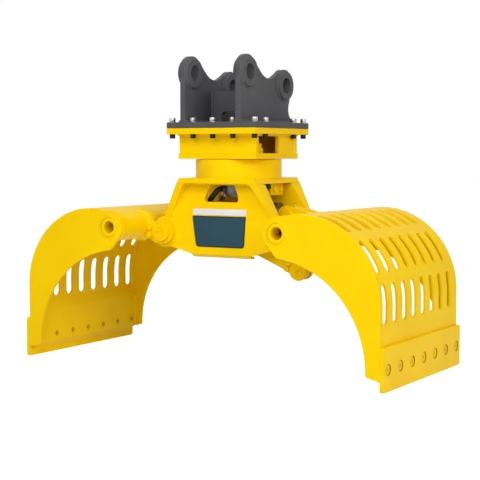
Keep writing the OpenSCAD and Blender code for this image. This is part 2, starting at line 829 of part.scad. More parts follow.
module keeper_bolt_pair() {
  for (p = keeper_places()) translate([p[0], -arm_y - arm_t - keeper_t, p[1]]) rotate([90, 0, 0]) {
    hex_prism(13, 5.3);
    translate([0, 0, -keeper_t - arm_t]) cylinder(h = keeper_t + arm_t, d = 8);
  }
}

module keeper_bolts_right() { color(zinc) front_and_rear() keeper_bolt_pair(); }
module keeper_bolts_left() { color(zinc) mirror([1, 0, 0]) front_and_rear() keeper_bolt_pair(); }

// Ears inside the housing

ear_t = 12;
ear_gap = 1.5;
ear_head_r = 23;
ear_root_r = 30;

module cylinder_ear_pair() {
  for (s = [-1, 1]) difference() {
    upright(cyl_y - ear_t / 2 + s * (eye_w / 2 + ear_gap + ear_t / 2), ear_t)
      two_head_web([ear_x, ear_z], ear_head_r, [tube_x, tube_z], ear_root_r);
    translate([tube_x, 0, tube_z]) rotate([90, 0, 0])
      cylinder(h = jaw_w, d = tube_od + 2 * weld_gap, center = true);
    translate([ear_x, 0, ear_z]) rotate([90, 0, 0])
      cylinder(h = jaw_w, d = cyl_pin_d + 2 * run_gap, center = true);
  }
}

module cylinder_ears_right() { color(yellow) cylinder_ear_pair(); }
module cylinder_ears_left() { color(yellow) mirror([1, 0, 0]) cylinder_ear_pair(); }

module link_ear(p, side) {
  difference() {
    union() {
      upright(link_ear_y, link_ear_t) two_head_web(p, link_eye_r, [side * tube_x, tube_z], ear_root_r);
      // Boss round the pin
      translate([p[0], link_ear_y + link_ear_t, p[1]]) rotate([90, 0, 0])
        cylinder(h = link_ear_t, r = link_eye_r + 1);
    }
    translate([side * tube_x, 0, tube_z]) rotate([90, 0, 0])
      cylinder(h = jaw_w, d = tube_od + 2 * weld_gap, center = true);
  }
}

module link_ear_right() {
  color(yellow)
  difference() {
    link_ear([link_ax, link_az], 1);
    translate([link_ax, 0, link_az]) rotate([90, 0, 0])
      cylinder(h = jaw_w, d = link_pin_d + 2 * run_gap, center = true);
  }
}

module link_ear_left() {
  color(yellow) link_ear([link_bx, link_bz], -1);
}

// Cutting edge

module lip() {
  difference() {
    upright(-jaw_in, 2 * jaw_in)
      polygon([[wall_x, lip_low], [wall_x, lip_top], [wall_x - shell_t, lip_top], [lip_in, lip_top - 4],
        [lip_in, lip_low + lip_bevel]]);
    for (i = [0 : blade_bolts - 1])
      translate([lip_in - 1, (i - (blade_bolts - 1) / 2) * blade_pitch, blade_bolt_z])
        rotate([0, 90, 0]) cylinder(h = lip_t + 2, d = bolt_d + 2 * weld_gap);
  }
}

module lip_right() { color(yellow) lip(); }
module lip_left() { color(yellow) mirror([1, 0, 0]) lip(); }

module blade() {
  r = 8;
  head_h = (bolt_head_d - bolt_d) / 2;
  difference() {
    translate([wall_x, 0, 0]) rotate([90, 0, 90]) linear_extrude(blade_t) union() {
      translate([-jaw_w / 2 + r, 0]) square([jaw_w - 2 * r, blade_h]);
      translate([-jaw_w / 2, r]) square([jaw_w, blade_h - 2 * r]);
      for (y = [-1, 1], z = [r, blade_h - r]) translate([y * (jaw_w / 2 - r), z]) circle(r);
    }
    for (i = [0 : blade_bolts - 1])
      translate([wall_x, (i - (blade_bolts - 1) / 2) * blade_pitch, blade_bolt_z]) rotate([0, 90, 0]) {
        translate([0, 0, -1]) cylinder(h = blade_t + 2, d = bolt_d + 1);
        translate([0, 0, blade_t - bolt_sink - head_h]) cylinder(h = head_h, d1 = bolt_d + 1, d2 = bolt_head_d + 1);
        translate([0, 0, blade_t - bolt_sink]) cylinder(h = bolt_sink + 1, d = bolt_head_d + 1);
      }
  }
}

module blade_right() { color(yellow) blade(); }
module blade_left() { color(yellow) mirror([1, 0, 0]) blade(); }

// Screwed into the lip, with the shank ends just under its inner face
module blade_bolt_set() {
  head_h = (bolt_head_d - bolt_d) / 2;
  face = blade_t - bolt_sink;
  for (i = [0 : blade_bolts - 1])
    translate([wall_x, (i - (blade_bolts - 1) / 2) * blade_pitch, blade_bolt_z]) rotate([0, 90, 0])
      difference() {
        union() {
          translate([0, 0, 1.5 - lip_t]) cylinder(h = lip_t - 1.5 + face - head_h, d = bolt_d);
          translate([0, 0, face - head_h]) cylinder(h = head_h, d1 = bolt_d, d2 = bolt_head_d);
        }
        // Hexagon socket in the head and a centre hole in the end
        translate([0, 0, face - 5]) hex_prism(8, 6);
        translate([0, 0, -lip_t]) cylinder(h = 6, d = 5);
      }
}

module blade_bolts_right() { color(steel_grey) blade_bolt_set(); }
module blade_bolts_left() { color(steel_grey) mirror([1, 0, 0]) blade_bolt_set(); }

// Hydraulic cylinder, lying level between the two upper ears

eye_r = 22;
closed_len = 2 * ear_x;
tube_start = 30;
gland_end = closed_len - eye_r - 9;
gland_len = 26;
rod_open = 1.5;
rod_len = closed_len - tube_start - 30 - ear_head_r - 4;

module along_cylinder() {
  translate([-ear_x, cyl_y, ear_z]) rotate([0, 90, 0]) children();
}

module cylinder_barrel() {
  color(yellow)
  difference() {
    union() {
      translate([-ear_x, cyl_y, ear_z]) rotate([90, 0, 0]) cylinder(h = eye_w, r = eye_r, center = true);
      translate([-ear_x, cyl_y - eye_w / 2, ear_z - eye_r * 0.7]) cube([tube_start + 1, eye_w, eye_r * 1.4]);
      along_cylinder() translate([0, 0, tube_start]) cylinder(h = gland_end - gland_len - tube_start, d = barrel_od);
    }
    along_cylinder() translate([0, 0, tube_start + 12]) cylinder(h = closed_len, d = barrel_bore);
    translate([-ear_x, cyl_y, ear_z]) rotate([90, 0, 0])
      cylinder(h = eye_w + 2, d = cyl_pin_d + 2 * run_gap, center = true);
  }
}

module cylinder_gland() {
  color(steel_grey)
  difference() {
    union() {
      along_cylinder() translate([0, 0, gland_end - gland_len]) cylinder(h = gland_len, d = barrel_od - 1);
      along_cylinder() translate([0, 0, gland_end - gland_len - 18])
        cylinder(h = 20, d = barrel_bore - 2 * run_gap);
    }
    along_cylinder() translate([0, 0, gland_end - gland_len - 20]) cylinder(h = 60, d = rod_d + 2 * run_gap);
  }
}

// Port bosses with elbow fittings on the front of the barrel
module barrel_ports() {
  color(steel_grey)
  for (x = [tube_start + 22, gland_end - gland_len - 22])
    translate([x - ear_x, cyl_y, ear_z]) rotate([-30, 0, 0]) difference() {
      union() {
        cylinder(h = barrel_od / 2 + 8, d = 20);
        translate([0, 0, barrel_od / 2 + 8]) hex_prism(17, 7);
      }
      rotate([0, 90, 0]) cylinder(h = 60, d = barrel_od + 2 * weld_gap, center = true);
    }
}

module cylinder_rod() {
  color(bright)
  difference() {
    union() {
      along_cylinder() translate([0, 0, tube_start + 16]) cylinder(h = 24, d = barrel_bore - 2 * run_gap);
      along_cylinder() translate([0, 0, tube_start + 30]) cylinder(h = rod_len, d = rod_d);
      // Flats on the rod's end give it the width of the eye between the ears
      intersection() {
        along_cylinder() translate([0, 0, tube_start + 30]) cylinder(h = rod_len + ear_head_r, d = rod_d);
        translate([0, cyl_y - eye_w / 2, ear_z - rod_d]) cube([ear_x, eye_w, 2 * rod_d]);
      }
      translate([ear_x, cyl_y, ear_z]) rotate([90, 0, 0]) cylinder(h = eye_w, r = eye_r, center = true);
    }
    translate([ear_x, cyl_y, ear_z]) rotate([90, 0, 0])
      cylinder(h = eye_w + 2, d = cyl_pin_d + 2 * rod_open, center = true);
  }
}

module ear_pin(x) {
  reach = eye_w / 2 + ear_gap + ear_t;
  translate([x, cyl_y, ear_z]) rotate([90, 0, 0]) {
    cylinder(h = 2 * reach, d = cyl_pin_d, center = true);
    translate([0, 0, -reach - 4]) cylinder(h = 4, d = cyl_pin_d + 8);
    translate([0, 0, reach]) cylinder(h = 3, d = cyl_pin_d + 8);
  }
}

module barrel_pin() { color(steel_grey) ear_pin(-ear_x); }
module rod_pin() { color(steel_grey) ear_pin(ear_x); }

// Synchronising link

link_cap_t = 5;
link_face = link_y - link_t / 2;

module sync_link() {
  color(yellow)
  translate([link_ax, 0, link_az]) rotate([0, -link_tilt, 0]) difference() {
    union() {
      upright(link_face, link_t) {
        circle(link_eye_r);
        translate([link_len, 0]) circle(link_eye_r);
        translate([0, -link_h / 2]) square([link_len, link_h]);
      }
      // Thin washer between the link and the ear
      translate([0, link_face + link_t, 0]) rotate([-90, 0, 0]) cylinder(h = 1, r = link_eye_r - 3);
    }
    for (x = [0, link_len]) translate([x, 0, 0]) rotate([90, 0, 0])
      cylinder(h = 200, d = link_pin_d + (x == 0 ? 2 * run_gap : 2 * weld_gap), center = true);
    for (s = [-1, 1]) translate([link_keeper_x, 0, s * link_keeper_step / 2]) rotate([90, 0, 0])
      cylinder(h = 200, d = 8.6, center = true);
  }
}

link_keeper_x = 30;
link_keeper_step = 16;

// The lower pin is locked to the link by its flag plate and turns in the jaw's ear
module link_pin_lower() {
  color(yellow)
  translate([link_ax, 0, link_az]) rotate([0, -link_tilt, 0]) {
    translate([0, link_face - link_cap_t, 0]) rotate([-90, 0, 0])
      cylinder(h = link_ear_y + link_ear_t - link_face + link_cap_t, d = link_pin_d);
    difference() {
      upright(link_face - link_cap_t, link_cap_t) {
        circle(cap_r);
        translate([0, -link_keeper_step]) square([link_keeper_x + 9, 2 * link_keeper_step]);
      }
      for (s = [-1, 1]) translate([link_keeper_x, 0, s * link_keeper_step / 2]) rotate([90, 0, 0])
        cylinder(h = 200, d = 8.6, center = true);
    }
    translate([0, link_face - link_cap_t - 4, 0]) rotate([-90, 0, 0]) cylinder(h = 4, r1 = cap_r - 1.5, r2 = cap_r);
  }
}

module link_pin_upper() {
  color(yellow)
  translate([link_ax, 0, link_az]) rotate([0, -link_tilt, 0]) translate([link_len, 0, 0]) {
    translate([0, link_face - link_cap_t, 0]) rotate([-90, 0, 0]) cylinder(h = link_t + link_cap_t, d = link_pin_d);
    translate([0, link_face - link_cap_t, 0]) rotate([-90, 0, 0]) cylinder(h = link_cap_t, r1 = link_eye_r - 2, r2 = link_eye_r);
  }
}

module link_keeper_bolts() {
  color(zinc)
  translate([link_ax, 0, link_az]) rotate([0, -link_tilt, 0])
    for (s = [-1, 1]) translate([link_keeper_x, link_face - link_cap_t, s * link_keeper_step / 2])
      rotate([90, 0, 0]) {
        hex_prism(13, 5.3);
        translate([0, 0, -link_cap_t - 14]) cylinder(h = link_cap_t + 14, d = 8);
      }
}

lug_plate_right();
lug_plate_left();
lug_bosses();
lug_cross_plate();
base_plate();
flange_bolts();
flange_nuts();
adapter_flange();
adapter_box();
adapter_floor();
slew_inner_ring();
swivel_core();
supply_fittings();
neck_ring();
top_plate();
panel_front();
panel_rear();
edge_ribs_front();
edge_ribs_rear();
bottom_plate();
pivot_bosses();
pivot_bushes();
hose_block();
swivel_sleeve();
housing_hoses();
jaw_shell_right();
jaw_shell_left();
side_plates_right();
side_plates_left();
jaw_tube_right();
jaw_tube_left();
arms_right();
arms_left();
cylinder_ears_right();
cylinder_ears_left();
link_ear_right();
link_ear_left();
lip_right();
lip_left();
blade_right();
blade_left();
blade_bolts_right();
blade_bolts_left();
pivot_pins_right();
pivot_pins_left();
keeper_bolts_right();
keeper_bolts_left();
cylinder_barrel();
cylinder_gland();
barrel_ports();
cylinder_rod();
barrel_pin();
rod_pin();
sync_link();
link_pin_lower();
link_pin_upper();
link_keeper_bolts();
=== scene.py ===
"""Paint, welds, plates, fittings, light and camera for the clamshell grapple."""

import json
import math
import random

import bmesh
import bpy
from mathutils import Matrix, Vector


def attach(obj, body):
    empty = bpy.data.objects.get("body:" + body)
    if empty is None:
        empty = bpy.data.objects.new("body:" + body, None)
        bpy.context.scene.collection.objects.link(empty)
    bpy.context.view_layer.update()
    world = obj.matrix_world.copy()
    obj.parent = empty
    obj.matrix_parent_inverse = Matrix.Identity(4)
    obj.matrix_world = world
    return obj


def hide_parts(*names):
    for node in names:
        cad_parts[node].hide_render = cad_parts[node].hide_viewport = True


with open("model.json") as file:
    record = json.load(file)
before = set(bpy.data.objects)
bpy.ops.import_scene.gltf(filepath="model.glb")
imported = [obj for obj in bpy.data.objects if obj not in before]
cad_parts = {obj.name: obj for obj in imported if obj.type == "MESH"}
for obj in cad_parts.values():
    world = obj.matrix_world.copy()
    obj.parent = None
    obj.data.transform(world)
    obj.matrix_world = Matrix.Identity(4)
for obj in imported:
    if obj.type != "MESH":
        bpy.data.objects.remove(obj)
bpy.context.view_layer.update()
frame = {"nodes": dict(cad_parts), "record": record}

MM = 0.001
X = Vector((1, 0, 0))
Y = Vector((0, 1, 0))
Z = Vector((0, 0, 1))

# Places and sizes of the parts, in millimetres, with angles in degrees

# Jaws: side plates, rolled shell, slots, lip, blade and cross tube
TUBE_X = 240.8
TUBE_Z = 347.6
TUBE_R = 35.4
SPIGOT_R = 26.5
ARC_X = 300
ARC_Z = 190
SHELL_R = 204
SHELL_T = 6
SHELL_IN_R = SHELL_R - SHELL_T
SHELL_END = 110.6
SHELL_BENDS = 54
WALL_X = 504
SIDE_IN = 220
SIDE_OUT = 230
LIP_IN = 490
LIP_TOP = 122
LIP_LOW = 16
TOE_REACH = 33
TOE_IN_RISE = 17
TOE_OUT_RISE = 8
NOSE = (238, 291)
HOLLOW = (218, 40)
HOLLOW_R = 250
HOLLOW_FROM = 79.5
HOLLOW_TURN = -80.3
BACK_TURN = 106.55
HEAD_TURN = 133.7
FILLET_TURN = 103
SLOT_W = 26
SLOT_PITCH = 54
SLOT_COLUMNS = 8
SLOT_SHIFTS = (12, 16, 17)
SLOT_FOOT = 28
SLOT_BREAKS = (14.5, 21.8, 46.3, 54.2, 79)
BLADE_FACE = 514
BOLT_Z = 50.5
BOLT_PITCH = 68
BOLT_COUNT = 7

# Arms, ears and pins
PIVOT_X = 165
PIVOT_Z = 332
ARM_IN = 94
ARM_OUT = 106
CAP_Y = 117
KEEPER_X = 198
KEEPER_Y = 112
KEEPER_ZS = (325.5, 342.5)
CYLINDER_EAR_FACES = ((4.5, -1), (16.5, 1), (43.5, -1), (55.5, 1))
LINK_EAR_FACES = ((-15, -1), (-3, 1))
LINK_LOW = (196, 243)
LINK_CAP_Y = -46
LINK_FACES = (-37.15, -16.85)

# Housing
DECK_Z = 457
TOP_Z = 470.5
TOP_HALF_D = 113.3
TOP_HOLE_R = 44
NECK_R = 109.8
BEND_Z = 366
PANEL_Y = 90
PANEL_LEAN = 11
PANEL_T = 12
RIB_TOP_X = 108.5
RIB_SLOPE = 0.6
RIB_W = 20
RIB_LOW_Z = 370
BOTTOM_X = (-84, 36)
BOTTOM_Y = 66
BOTTOM_Z = 276
PIVOT_BOSS_R = 37
PIVOT_BOSS_IN_R = 32

# Adapter and bracket
FLOOR_TOP = 527
FLANGE_Z = 580
BASE_TOP = 610
BOX_X = 112
BOX_Y = 105
BOX_REAR_WALL = 93
BOLT_EDGE_X = 119.8
BOLT_EDGE_Y = 124
BOLT_MID_X = 58
BOLT_MID_Y = 72
LUG_X = 80.3
LUG_HALF_T = 7
LUG_FRONT = -138
LUG_FRONT_TOP = 142.1
LUG_REAR = 118
LUG_HEEL = (115, 12.3)
LUG_BOSS_R = 38
CROSS_FRONT = -10
CROSS_REAR = 2
CROSS_TOP = 691
CROSS_SEAM_X = 45
FRONT_EAR = (-100, 122)
FRONT_EAR_R = 43
FRONT_EAR_END = 152.1
REAR_EAR = (82, 95)
REAR_EAR_R = 41
REAR_EAR_FROM = -40.4
EAR_SEAT_R = 33.2
VALLEY = (4, 175)
VALLEY_R = 65
WAIST = (135, 36)
WAIST_TURN = -72

chance = random.Random(7)


def mm(x, y, z):
    return Vector((x, y, z)) * MM


# Finishes

def srgb(r, g, b):
    """Linear colour of a shade given as 0 to 255 display values."""
    def linear(v):
        v /= 255
        return v / 12.92 if v <= 0.04045 else ((v + 0.055) / 1.055) ** 2.4
    return (linear(r), linear(g), linear(b), 1)


class Finish:
    """A material under construction: its shader and helpers that add nodes."""

    def __init__(self, name, metallic=0.0, coat=0.0, specular=0.5, ior=1.45):
        self.material = bpy.data.materials.new(name)
        self.material.use_nodes = True
        self.nodes = self.material.node_tree.nodes
        self.links = self.material.node_tree.links
        self.shader = self.nodes["Principled BSDF"]
        self.shader.inputs["Metallic"].default_value = metallic
        self.shader.inputs["Coat Weight"].default_value = coat
        self.shader.inputs["Coat Roughness"].default_value = 0.12
        self.shader.inputs["Specular IOR Level"].default_value = specular
        self.shader.inputs["IOR"].default_value = ior
        self.place = self.nodes.new("ShaderNodeTexCoord").outputs["Object"]

    def noise(self, scale, detail=3, rough=0.5, place=None):
        node = self.nodes.new("ShaderNodeTexNoise")
        node.inputs["Scale"].default_value = scale
        node.inputs["Detail"].default_value = detail
        node.inputs["Roughness"].default_value = rough
        self.links.new(place or self.place, node.inputs["Vector"])
        return node.outputs["Fac"]

    def ramp(self, value, stops):
        node = self.nodes.new("ShaderNodeValToRGB")
        spots = node.color_ramp.elements
        while len(spots) < len(stops):
            spots.new(0.5)
        for spot, (at, colour) in zip(spots, stops):
            spot.position = at
            spot.color = colour
        self.links.new(value, node.inputs["Fac"])
        return node.outputs["Color"]

    def between(self, value, low, high, start=0.3, end=0.7):
        node = self.nodes.new("ShaderNodeMapRange")
        node.inputs["From Min"].default_value = start
        node.inputs["From Max"].default_value = end
        node.inputs["To Min"].default_value = low
        node.inputs["To Max"].default_value = high
        self.links.new(value, node.inputs["Value"])
        return node.outputs["Result"]

    def mix(self, share, first, second, blend="MIX"):
        node = self.nodes.new("ShaderNodeMix")
        node.data_type = "RGBA"
        node.blend_type = blend
        self.links.new(share, node.inputs["Factor"])
        for value, socket in ((first, node.inputs["A"]), (second, node.inputs["B"])):
            if isinstance(value, tuple):
                socket.default_value = value
            else:
                self.links.new(value, socket)
        return node.outputs["Result"]

    def stretch(self, scale):
        node = self.nodes.new("ShaderNodeMapping")
        node.inputs["Scale"].default_value = scale
        self.links.new(self.place, node.inputs["Vector"])
        return node.outputs["Vector"]

    def colour(self, value):
        self.links.new(value, self.shader.inputs["Base Color"])

    def roughness(self, value):
        self.links.new(value, self.shader.inputs["Roughness"])

    def bump(self, value, strength, depth, under=None):
        node = self.nodes.new("ShaderNodeBump")
        node.inputs["Strength"].default_value = strength
        node.inputs["Distance"].default_value = depth
        self.links.new(value, node.inputs["Height"])
        if under is not None:
            self.links.new(under, node.inputs["Normal"])
        self.links.new(node.outputs["Normal"], self.shader.inputs["Normal"])
        return node.outputs["Normal"]


def sprayed_paint(name, light, deep, dusty, gloss):
    """Two-pack paint: slow shifts of tone, faint dust, and orange peel in the gloss."""
    paint = Finish(name, coat=gloss, specular=0.2, ior=1.22)
    drift = paint.noise(7, detail=4)
    tone = paint.ramp(drift, [(0.3, deep), (0.62, light)])
    film = paint.between(paint.noise(55, detail=5, rough=0.65), 0.0, 0.1, 0.52, 0.75)
    paint.colour(paint.mix(film, tone, dusty))
    paint.roughness(paint.between(paint.noise(120, detail=4), 0.34, 0.46))
    peel = paint.bump(paint.noise(900, detail=2), 0.12, 0.0003)
    paint.bump(paint.noise(60, detail=2), 0.08, 0.0006, under=peel)
    return paint.material


def turned_steel(name, light, dark, rough, grain=(4, 900, 4), metallic=1.0):
    """Machined or plated metal with fine tool marks and uneven gloss."""
    steel = Finish(name, metallic=metallic)
    steel.colour(steel.ramp(steel.noise(40, detail=5), [(0.35, dark), (0.65, light)]))
    steel.roughness(steel.between(steel.noise(90, detail=4), rough * 0.75, rough * 1.3))
    marks = steel.noise(1, detail=2, place=steel.stretch(grain))
    steel.bump(marks, 0.12, 0.0002)
    return steel.material


def hose_cover(name):
    """Black hose cover with the wrap pattern pressed in while it cured."""
    cover = Finish(name, specular=0.4)
    cover.colour(cover.ramp(cover.noise(80, detail=4), [(0.35, srgb(20, 20, 21)), (0.7, srgb(38, 38, 40))]))
    cover.roughness(cover.between(cover.noise(200), 0.5, 0.68))
    wrap = cover.nodes.new("ShaderNodeTexWave")
    wrap.bands_direction = "DIAGONAL"
    wrap.inputs["Scale"].default_value = 140
    wrap.inputs["Distortion"].default_value = 0.6
    cover.links.new(cover.place, wrap.inputs["Vector"])
    cover.bump(wrap.outputs["Fac"], 0.25, 0.0003)
    return cover.material


def plate_lacquer(name, light, deep, rough):
    """Smooth printed or anodised sheet, nearly even, with faint handling marks; also the dark finish of the
    painted shade rings.
    """
    sheet = Finish(name, coat=0.02, specular=0.2, ior=1.25)
    sheet.colour(sheet.ramp(sheet.noise(12, detail=4), [(0.3, deep), (0.7, light)]))
    sheet.roughness(sheet.between(sheet.noise(60, detail=5), rough - 0.06, rough + 0.1))
    sheet.bump(sheet.noise(1500, detail=1), 0.04, 0.0001)
    return sheet.material


yellow_paint = sprayed_paint(
    "yellow_paint_sprayed", srgb(249, 208, 0), srgb(244, 199, 0), srgb(250, 215, 12), 0.02)
bracket_grey = sprayed_paint(
    "bracket_grey_sprayed", srgb(88, 88, 90), srgb(76, 76, 79), srgb(104, 104, 106), 0.03)
zinc = turned_steel("zinc_plating", srgb(196, 194, 188), srgb(150, 148, 142), 0.38)
black_steel = turned_steel("blackened_steel", srgb(34, 34, 36), srgb(18, 18, 20), 0.45, metallic=0.6)
bare_steel = turned_steel("oiled_steel", srgb(118, 116, 108), srgb(78, 76, 70), 0.36)
chrome = turned_steel("hard_chrome", srgb(228, 230, 234), srgb(206, 208, 214), 0.08, grain=(3, 400, 400))
bronze = turned_steel("bearing_bronze", srgb(196, 152, 88), srgb(160, 116, 62), 0.3)
hose_rubber = hose_cover("hose_cover")
# A dark finish used as painted shade: rings in the shaded gaps round the blade's bolt heads and tips and
# round the link's eye, and a dark dot on each bolt tip.
painted_gap_shade = plate_lacquer("painted_gap_shade", srgb(30, 30, 31), srgb(20, 20, 21), 0.5)
teal_plate = plate_lacquer("teal_plate", srgb(47, 77, 90), srgb(43, 72, 85), 0.34)
# The teal plate's dark rim colour is painted shade, for the shadow lines along the plate's edges.
teal_rim_painted_shade = plate_lacquer("teal_plate_rim_painted_shade", srgb(22, 34, 38), srgb(16, 26, 30), 0.4)
pale_strip = plate_lacquer("pale_strip", srgb(229, 229, 229), srgb(221, 221, 222), 0.42)

SLOT_FINISH = {
    "yellow_paint": yellow_paint,
    "bracket_grey": bracket_grey,
    "zinc": zinc,
    "black_steel": black_steel,
    "bare_steel": bare_steel,
    "bronze": bronze,
    "hose_rubber": hose_rubber,
    "chrome": chrome,
}


# CAD parts keep their shape: they get their finish and a small round on every edge

EDGE_ROUND = {
    "base_plate": 1.4,
    "adapter_flange": 1.4,
    "adapter_box": 1.2,
    "adapter_floor": 1.2,
    "lip_right": 0.9,
    "lip_left": 0.9,
    "blade_right": 1.1,
    "blade_left": 1.1,
    "arms_right": 1.4,
    "arms_left": 1.4,
    "edge_ribs_front": 1.4,
    "edge_ribs_rear": 1.4,
    "sync_link": 1.4,
}
PLAIN_ROUND = 0.8
SMALL_ROUND = 0.4
SHARP_ANGLE = 34
FLAT_ANGLE = 0.6
MERGE_DISTANCE = 0.00001
PAINTED_OVER = ("supply_fittings", "barrel_pin", "rod_pin")
OPEN_WALLS = ("adapter_box", "adapter_flange", "adapter_floor", "base_plate")
SMALL_PARTS = (
    "keeper_bolts_right", "keeper_bolts_left", "link_keeper_bolts", "blade_bolts_right", "blade_bolts_left",
    "supply_fittings", "barrel_ports", "cylinder_gland", "pivot_bushes", "barrel_pin", "rod_pin",
    "swivel_sleeve", "swivel_core")


def round_edges(piece, width):
    """Rounds the sharp edges and evens its shading."""
    edge = piece.modifiers.new("round", "BEVEL")
    edge.width = width * MM
    edge.segments = 2
    edge.limit_method = "ANGLE"
    edge.angle_limit = math.radians(SHARP_ANGLE)
    shade = piece.modifiers.new("even_shading", "WEIGHTED_NORMAL")
    shade.weight = 60


def soften_edges(part, width, join_flat=True):
    """Merges the loose triangles, joins flat ones, and rounds the sharp edges."""
    part.data.shade_smooth()
    weld = part.modifiers.new("merge", "WELD")
    weld.merge_threshold = MERGE_DISTANCE
    if join_flat:
        flat = part.modifiers.new("join_flat", "DECIMATE")
        flat.decimate_type = "DISSOLVE"
        flat.angle_limit = math.radians(FLAT_ANGLE)
    round_edges(part, width)


def finish_cad_parts():
    slots = {s["node"]: s["material_slot"] for s in frame["record"]["subparts"]}
    for name, part in frame["nodes"].items():
        part.data.materials.clear()
        finish = yellow_paint if name in PAINTED_OVER else SLOT_FINISH[slots[name]]
        part.data.materials.append(finish)
        if name in SMALL_PARTS:
            width = SMALL_ROUND
        else:
            width = EDGE_ROUND.get(name, PLAIN_ROUND)
        if name != "housing_hoses":
            soften_edges(part, width, join_flat=name not in OPEN_WALLS)


# New pieces

def make_piece(name, mesh, finishes, body, sharp=35):
    """Turns a bmesh into a piece that rides on its body."""
    bmesh.ops.remove_doubles(mesh, verts=mesh.verts, dist=0.000001)
    bmesh.ops.recalc_face_normals(mesh, faces=mesh.faces)
    data = bpy.data.meshes.new(name)
    mesh.to_mesh(data)
    mesh.free()
    for finish in finishes:
        data.materials.append(finish)
    data.shade_smooth()
    data.set_sharp_from_angle(angle=math.radians(sharp))
    piece = bpy.data.objects.new(name, data)
    bpy.context.scene.collection.objects.link(piece)
    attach(piece, body)
    return piece


class Outline:
    """A closed outline drawn in one plane as straight runs and arcs."""

    def __init__(self, mesh, start, axis):
        self.mesh = mesh
        self.axis = axis
        self.first = mesh.verts.new(start)
        self.last = self.first
        self.edges = []

    def line(self, place):
        fresh = self.mesh.verts.new(place)
        self.edges.append(self.mesh.edges.new((self.last, fresh)))
        self.last = fresh

    def arc(self, centre, degrees, step=3):
        turn = bmesh.ops.spin(self.mesh, geom=[self.last], cent=centre, axis=self.axis,
            angle=math.radians(degrees), steps=max(2, round(abs(degrees) / step)), use_merge=False)
        end = next(g for g in turn["geom_last"] if isinstance(g, bmesh.types.BMVert))
        before = None
        here = self.last
        while here is not end:
            edge = next(e for e in here.link_edges if e is not before and e not in self.edges)
            self.edges.append(edge)
            here = edge.other_vert(here)
            before = edge
        self.last = end

    def close(self):
        self.edges.append(self.mesh.edges.new((self.last, self.first)))
        return self.edges


def round_hole(mesh, centre, radius, ray, axis, step=6):
    """Edges of a hole, drawn from the point that ray gives."""
    hole = Outline(mesh, centre + ray * radius * MM, axis)
    hole.arc(centre, 360 - step, step)
    return hole.close()


def cut_plate(mesh, edges, thick):
    """Fills what lies between the outlines and gives it a thickness."""
    sheet = bmesh.ops.triangle_fill(mesh, use_beauty=True, edges=edges)["geom"]
    faces = [g for g in sheet if isinstance(g, bmesh.types.BMFace)]
    raised = bmesh.ops.extrude_face_region(mesh, geom=faces)["geom"]
    bmesh.ops.translate(mesh, vec=thick, verts=[v for v in raised if isinstance(v, bmesh.types.BMVert)])


def passing_angle(ear, ear_r, side):
    """Direction from an ear's centre to where its round passes into the flank of the valley."""
    reach = Vector(VALLEY) - Vector(ear)
    spread = math.acos((ear_r + VALLEY_R) / reach.length)
    return math.degrees(math.atan2(reach.y, reach.x) + side * spread)


def point_on(centre, radius, degrees):
    return (centre[0] + radius * math.cos(math.radians(degrees)),
        centre[1] + radius * math.sin(math.radians(degrees)))


def lug_plates():
    """The two eared plates of the bracket."""
    mesh = bmesh.new()
    front = passing_angle(FRONT_EAR, FRONT_EAR_R, 1)
    rear = passing_angle(REAR_EAR, REAR_EAR_R, -1)
    for side in (-1, 1):
        x = side * LUG_X - LUG_HALF_T

        def place(point):
            return mm(x, point[0], BASE_TOP + point[1])

        plate = Outline(mesh, place((LUG_FRONT, 0)), X)
        plate.line(place((LUG_REAR, 0)))
        plate.line(place(LUG_HEEL))
        plate.arc(place(WAIST), WAIST_TURN, step=6)
        plate.line(place(point_on(REAR_EAR, REAR_EAR_R, REAR_EAR_FROM)))
        plate.arc(place(REAR_EAR), rear - REAR_EAR_FROM)
        plate.line(place(point_on(VALLEY, VALLEY_R, rear + 180)))
        plate.arc(place(VALLEY), front - rear)
        plate.line(place(point_on(FRONT_EAR, FRONT_EAR_R, front)))
        plate.arc(place(FRONT_EAR), FRONT_EAR_END - front)
        plate.last.co = place((LUG_FRONT, LUG_FRONT_TOP))
        edges = plate.close()
        for ear in (FRONT_EAR, REAR_EAR):
            edges += round_hole(mesh, place(ear), EAR_SEAT_R, Y, X)
        cut_plate(mesh, edges, X * 2 * LUG_HALF_T * MM)
    piece = make_piece("lug_plates", mesh, [bracket_grey], "bracket")
    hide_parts("lug_plate_right", "lug_plate_left")
    round_edges(piece, width=1.2)


def side_plates(name, body, left):
    """Front and rear plate of a jaw: a broad crescent from the cross tube down to the blade."""
    mesh = bmesh.new()
    for y in (-SIDE_OUT, SIDE_IN):

        def place(x, z):
            return mm(x, y, z)

        tube = place(TUBE_X, TUBE_Z)
        plate = Outline(mesh, place(WALL_X, LIP_LOW + TOE_OUT_RISE), -Y)
        plate.line(place(WALL_X, ARC_Z))
        plate.arc(place(ARC_X, ARC_Z), BACK_TURN, step=2)
        plate.arc(tube, HEAD_TURN, step=4)
        plate.line(place(*NOSE))
        plate.line(place(*point_on(HOLLOW, HOLLOW_R, HOLLOW_FROM)))
        plate.arc(place(*HOLLOW), HOLLOW_TURN, step=2)
        plate.line(place(WALL_X - TOE_REACH, LIP_LOW + TOE_IN_RISE))
        edges = plate.close()
        edges += round_hole(mesh, tube, SPIGOT_R + 0.2, X, -Y)
        cut_plate(mesh, edges, Y * (SIDE_OUT - SIDE_IN) * MM)
    if left:
        mirror_x(mesh)
    piece = make_piece(name, mesh, [yellow_paint], body)
    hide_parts("side_plates_left" if left else "side_plates_right")
    round_edges(piece, width=1.3)


FLANGE_WASHER = [(0, 0), (0, 8.6), (1.2, 8.6), (1.6, 8.2), (1.6, 0)]
FLANGE_HEAD = (14.5, 9.5)
FLANGE_NUT = (13.6, 10.5)


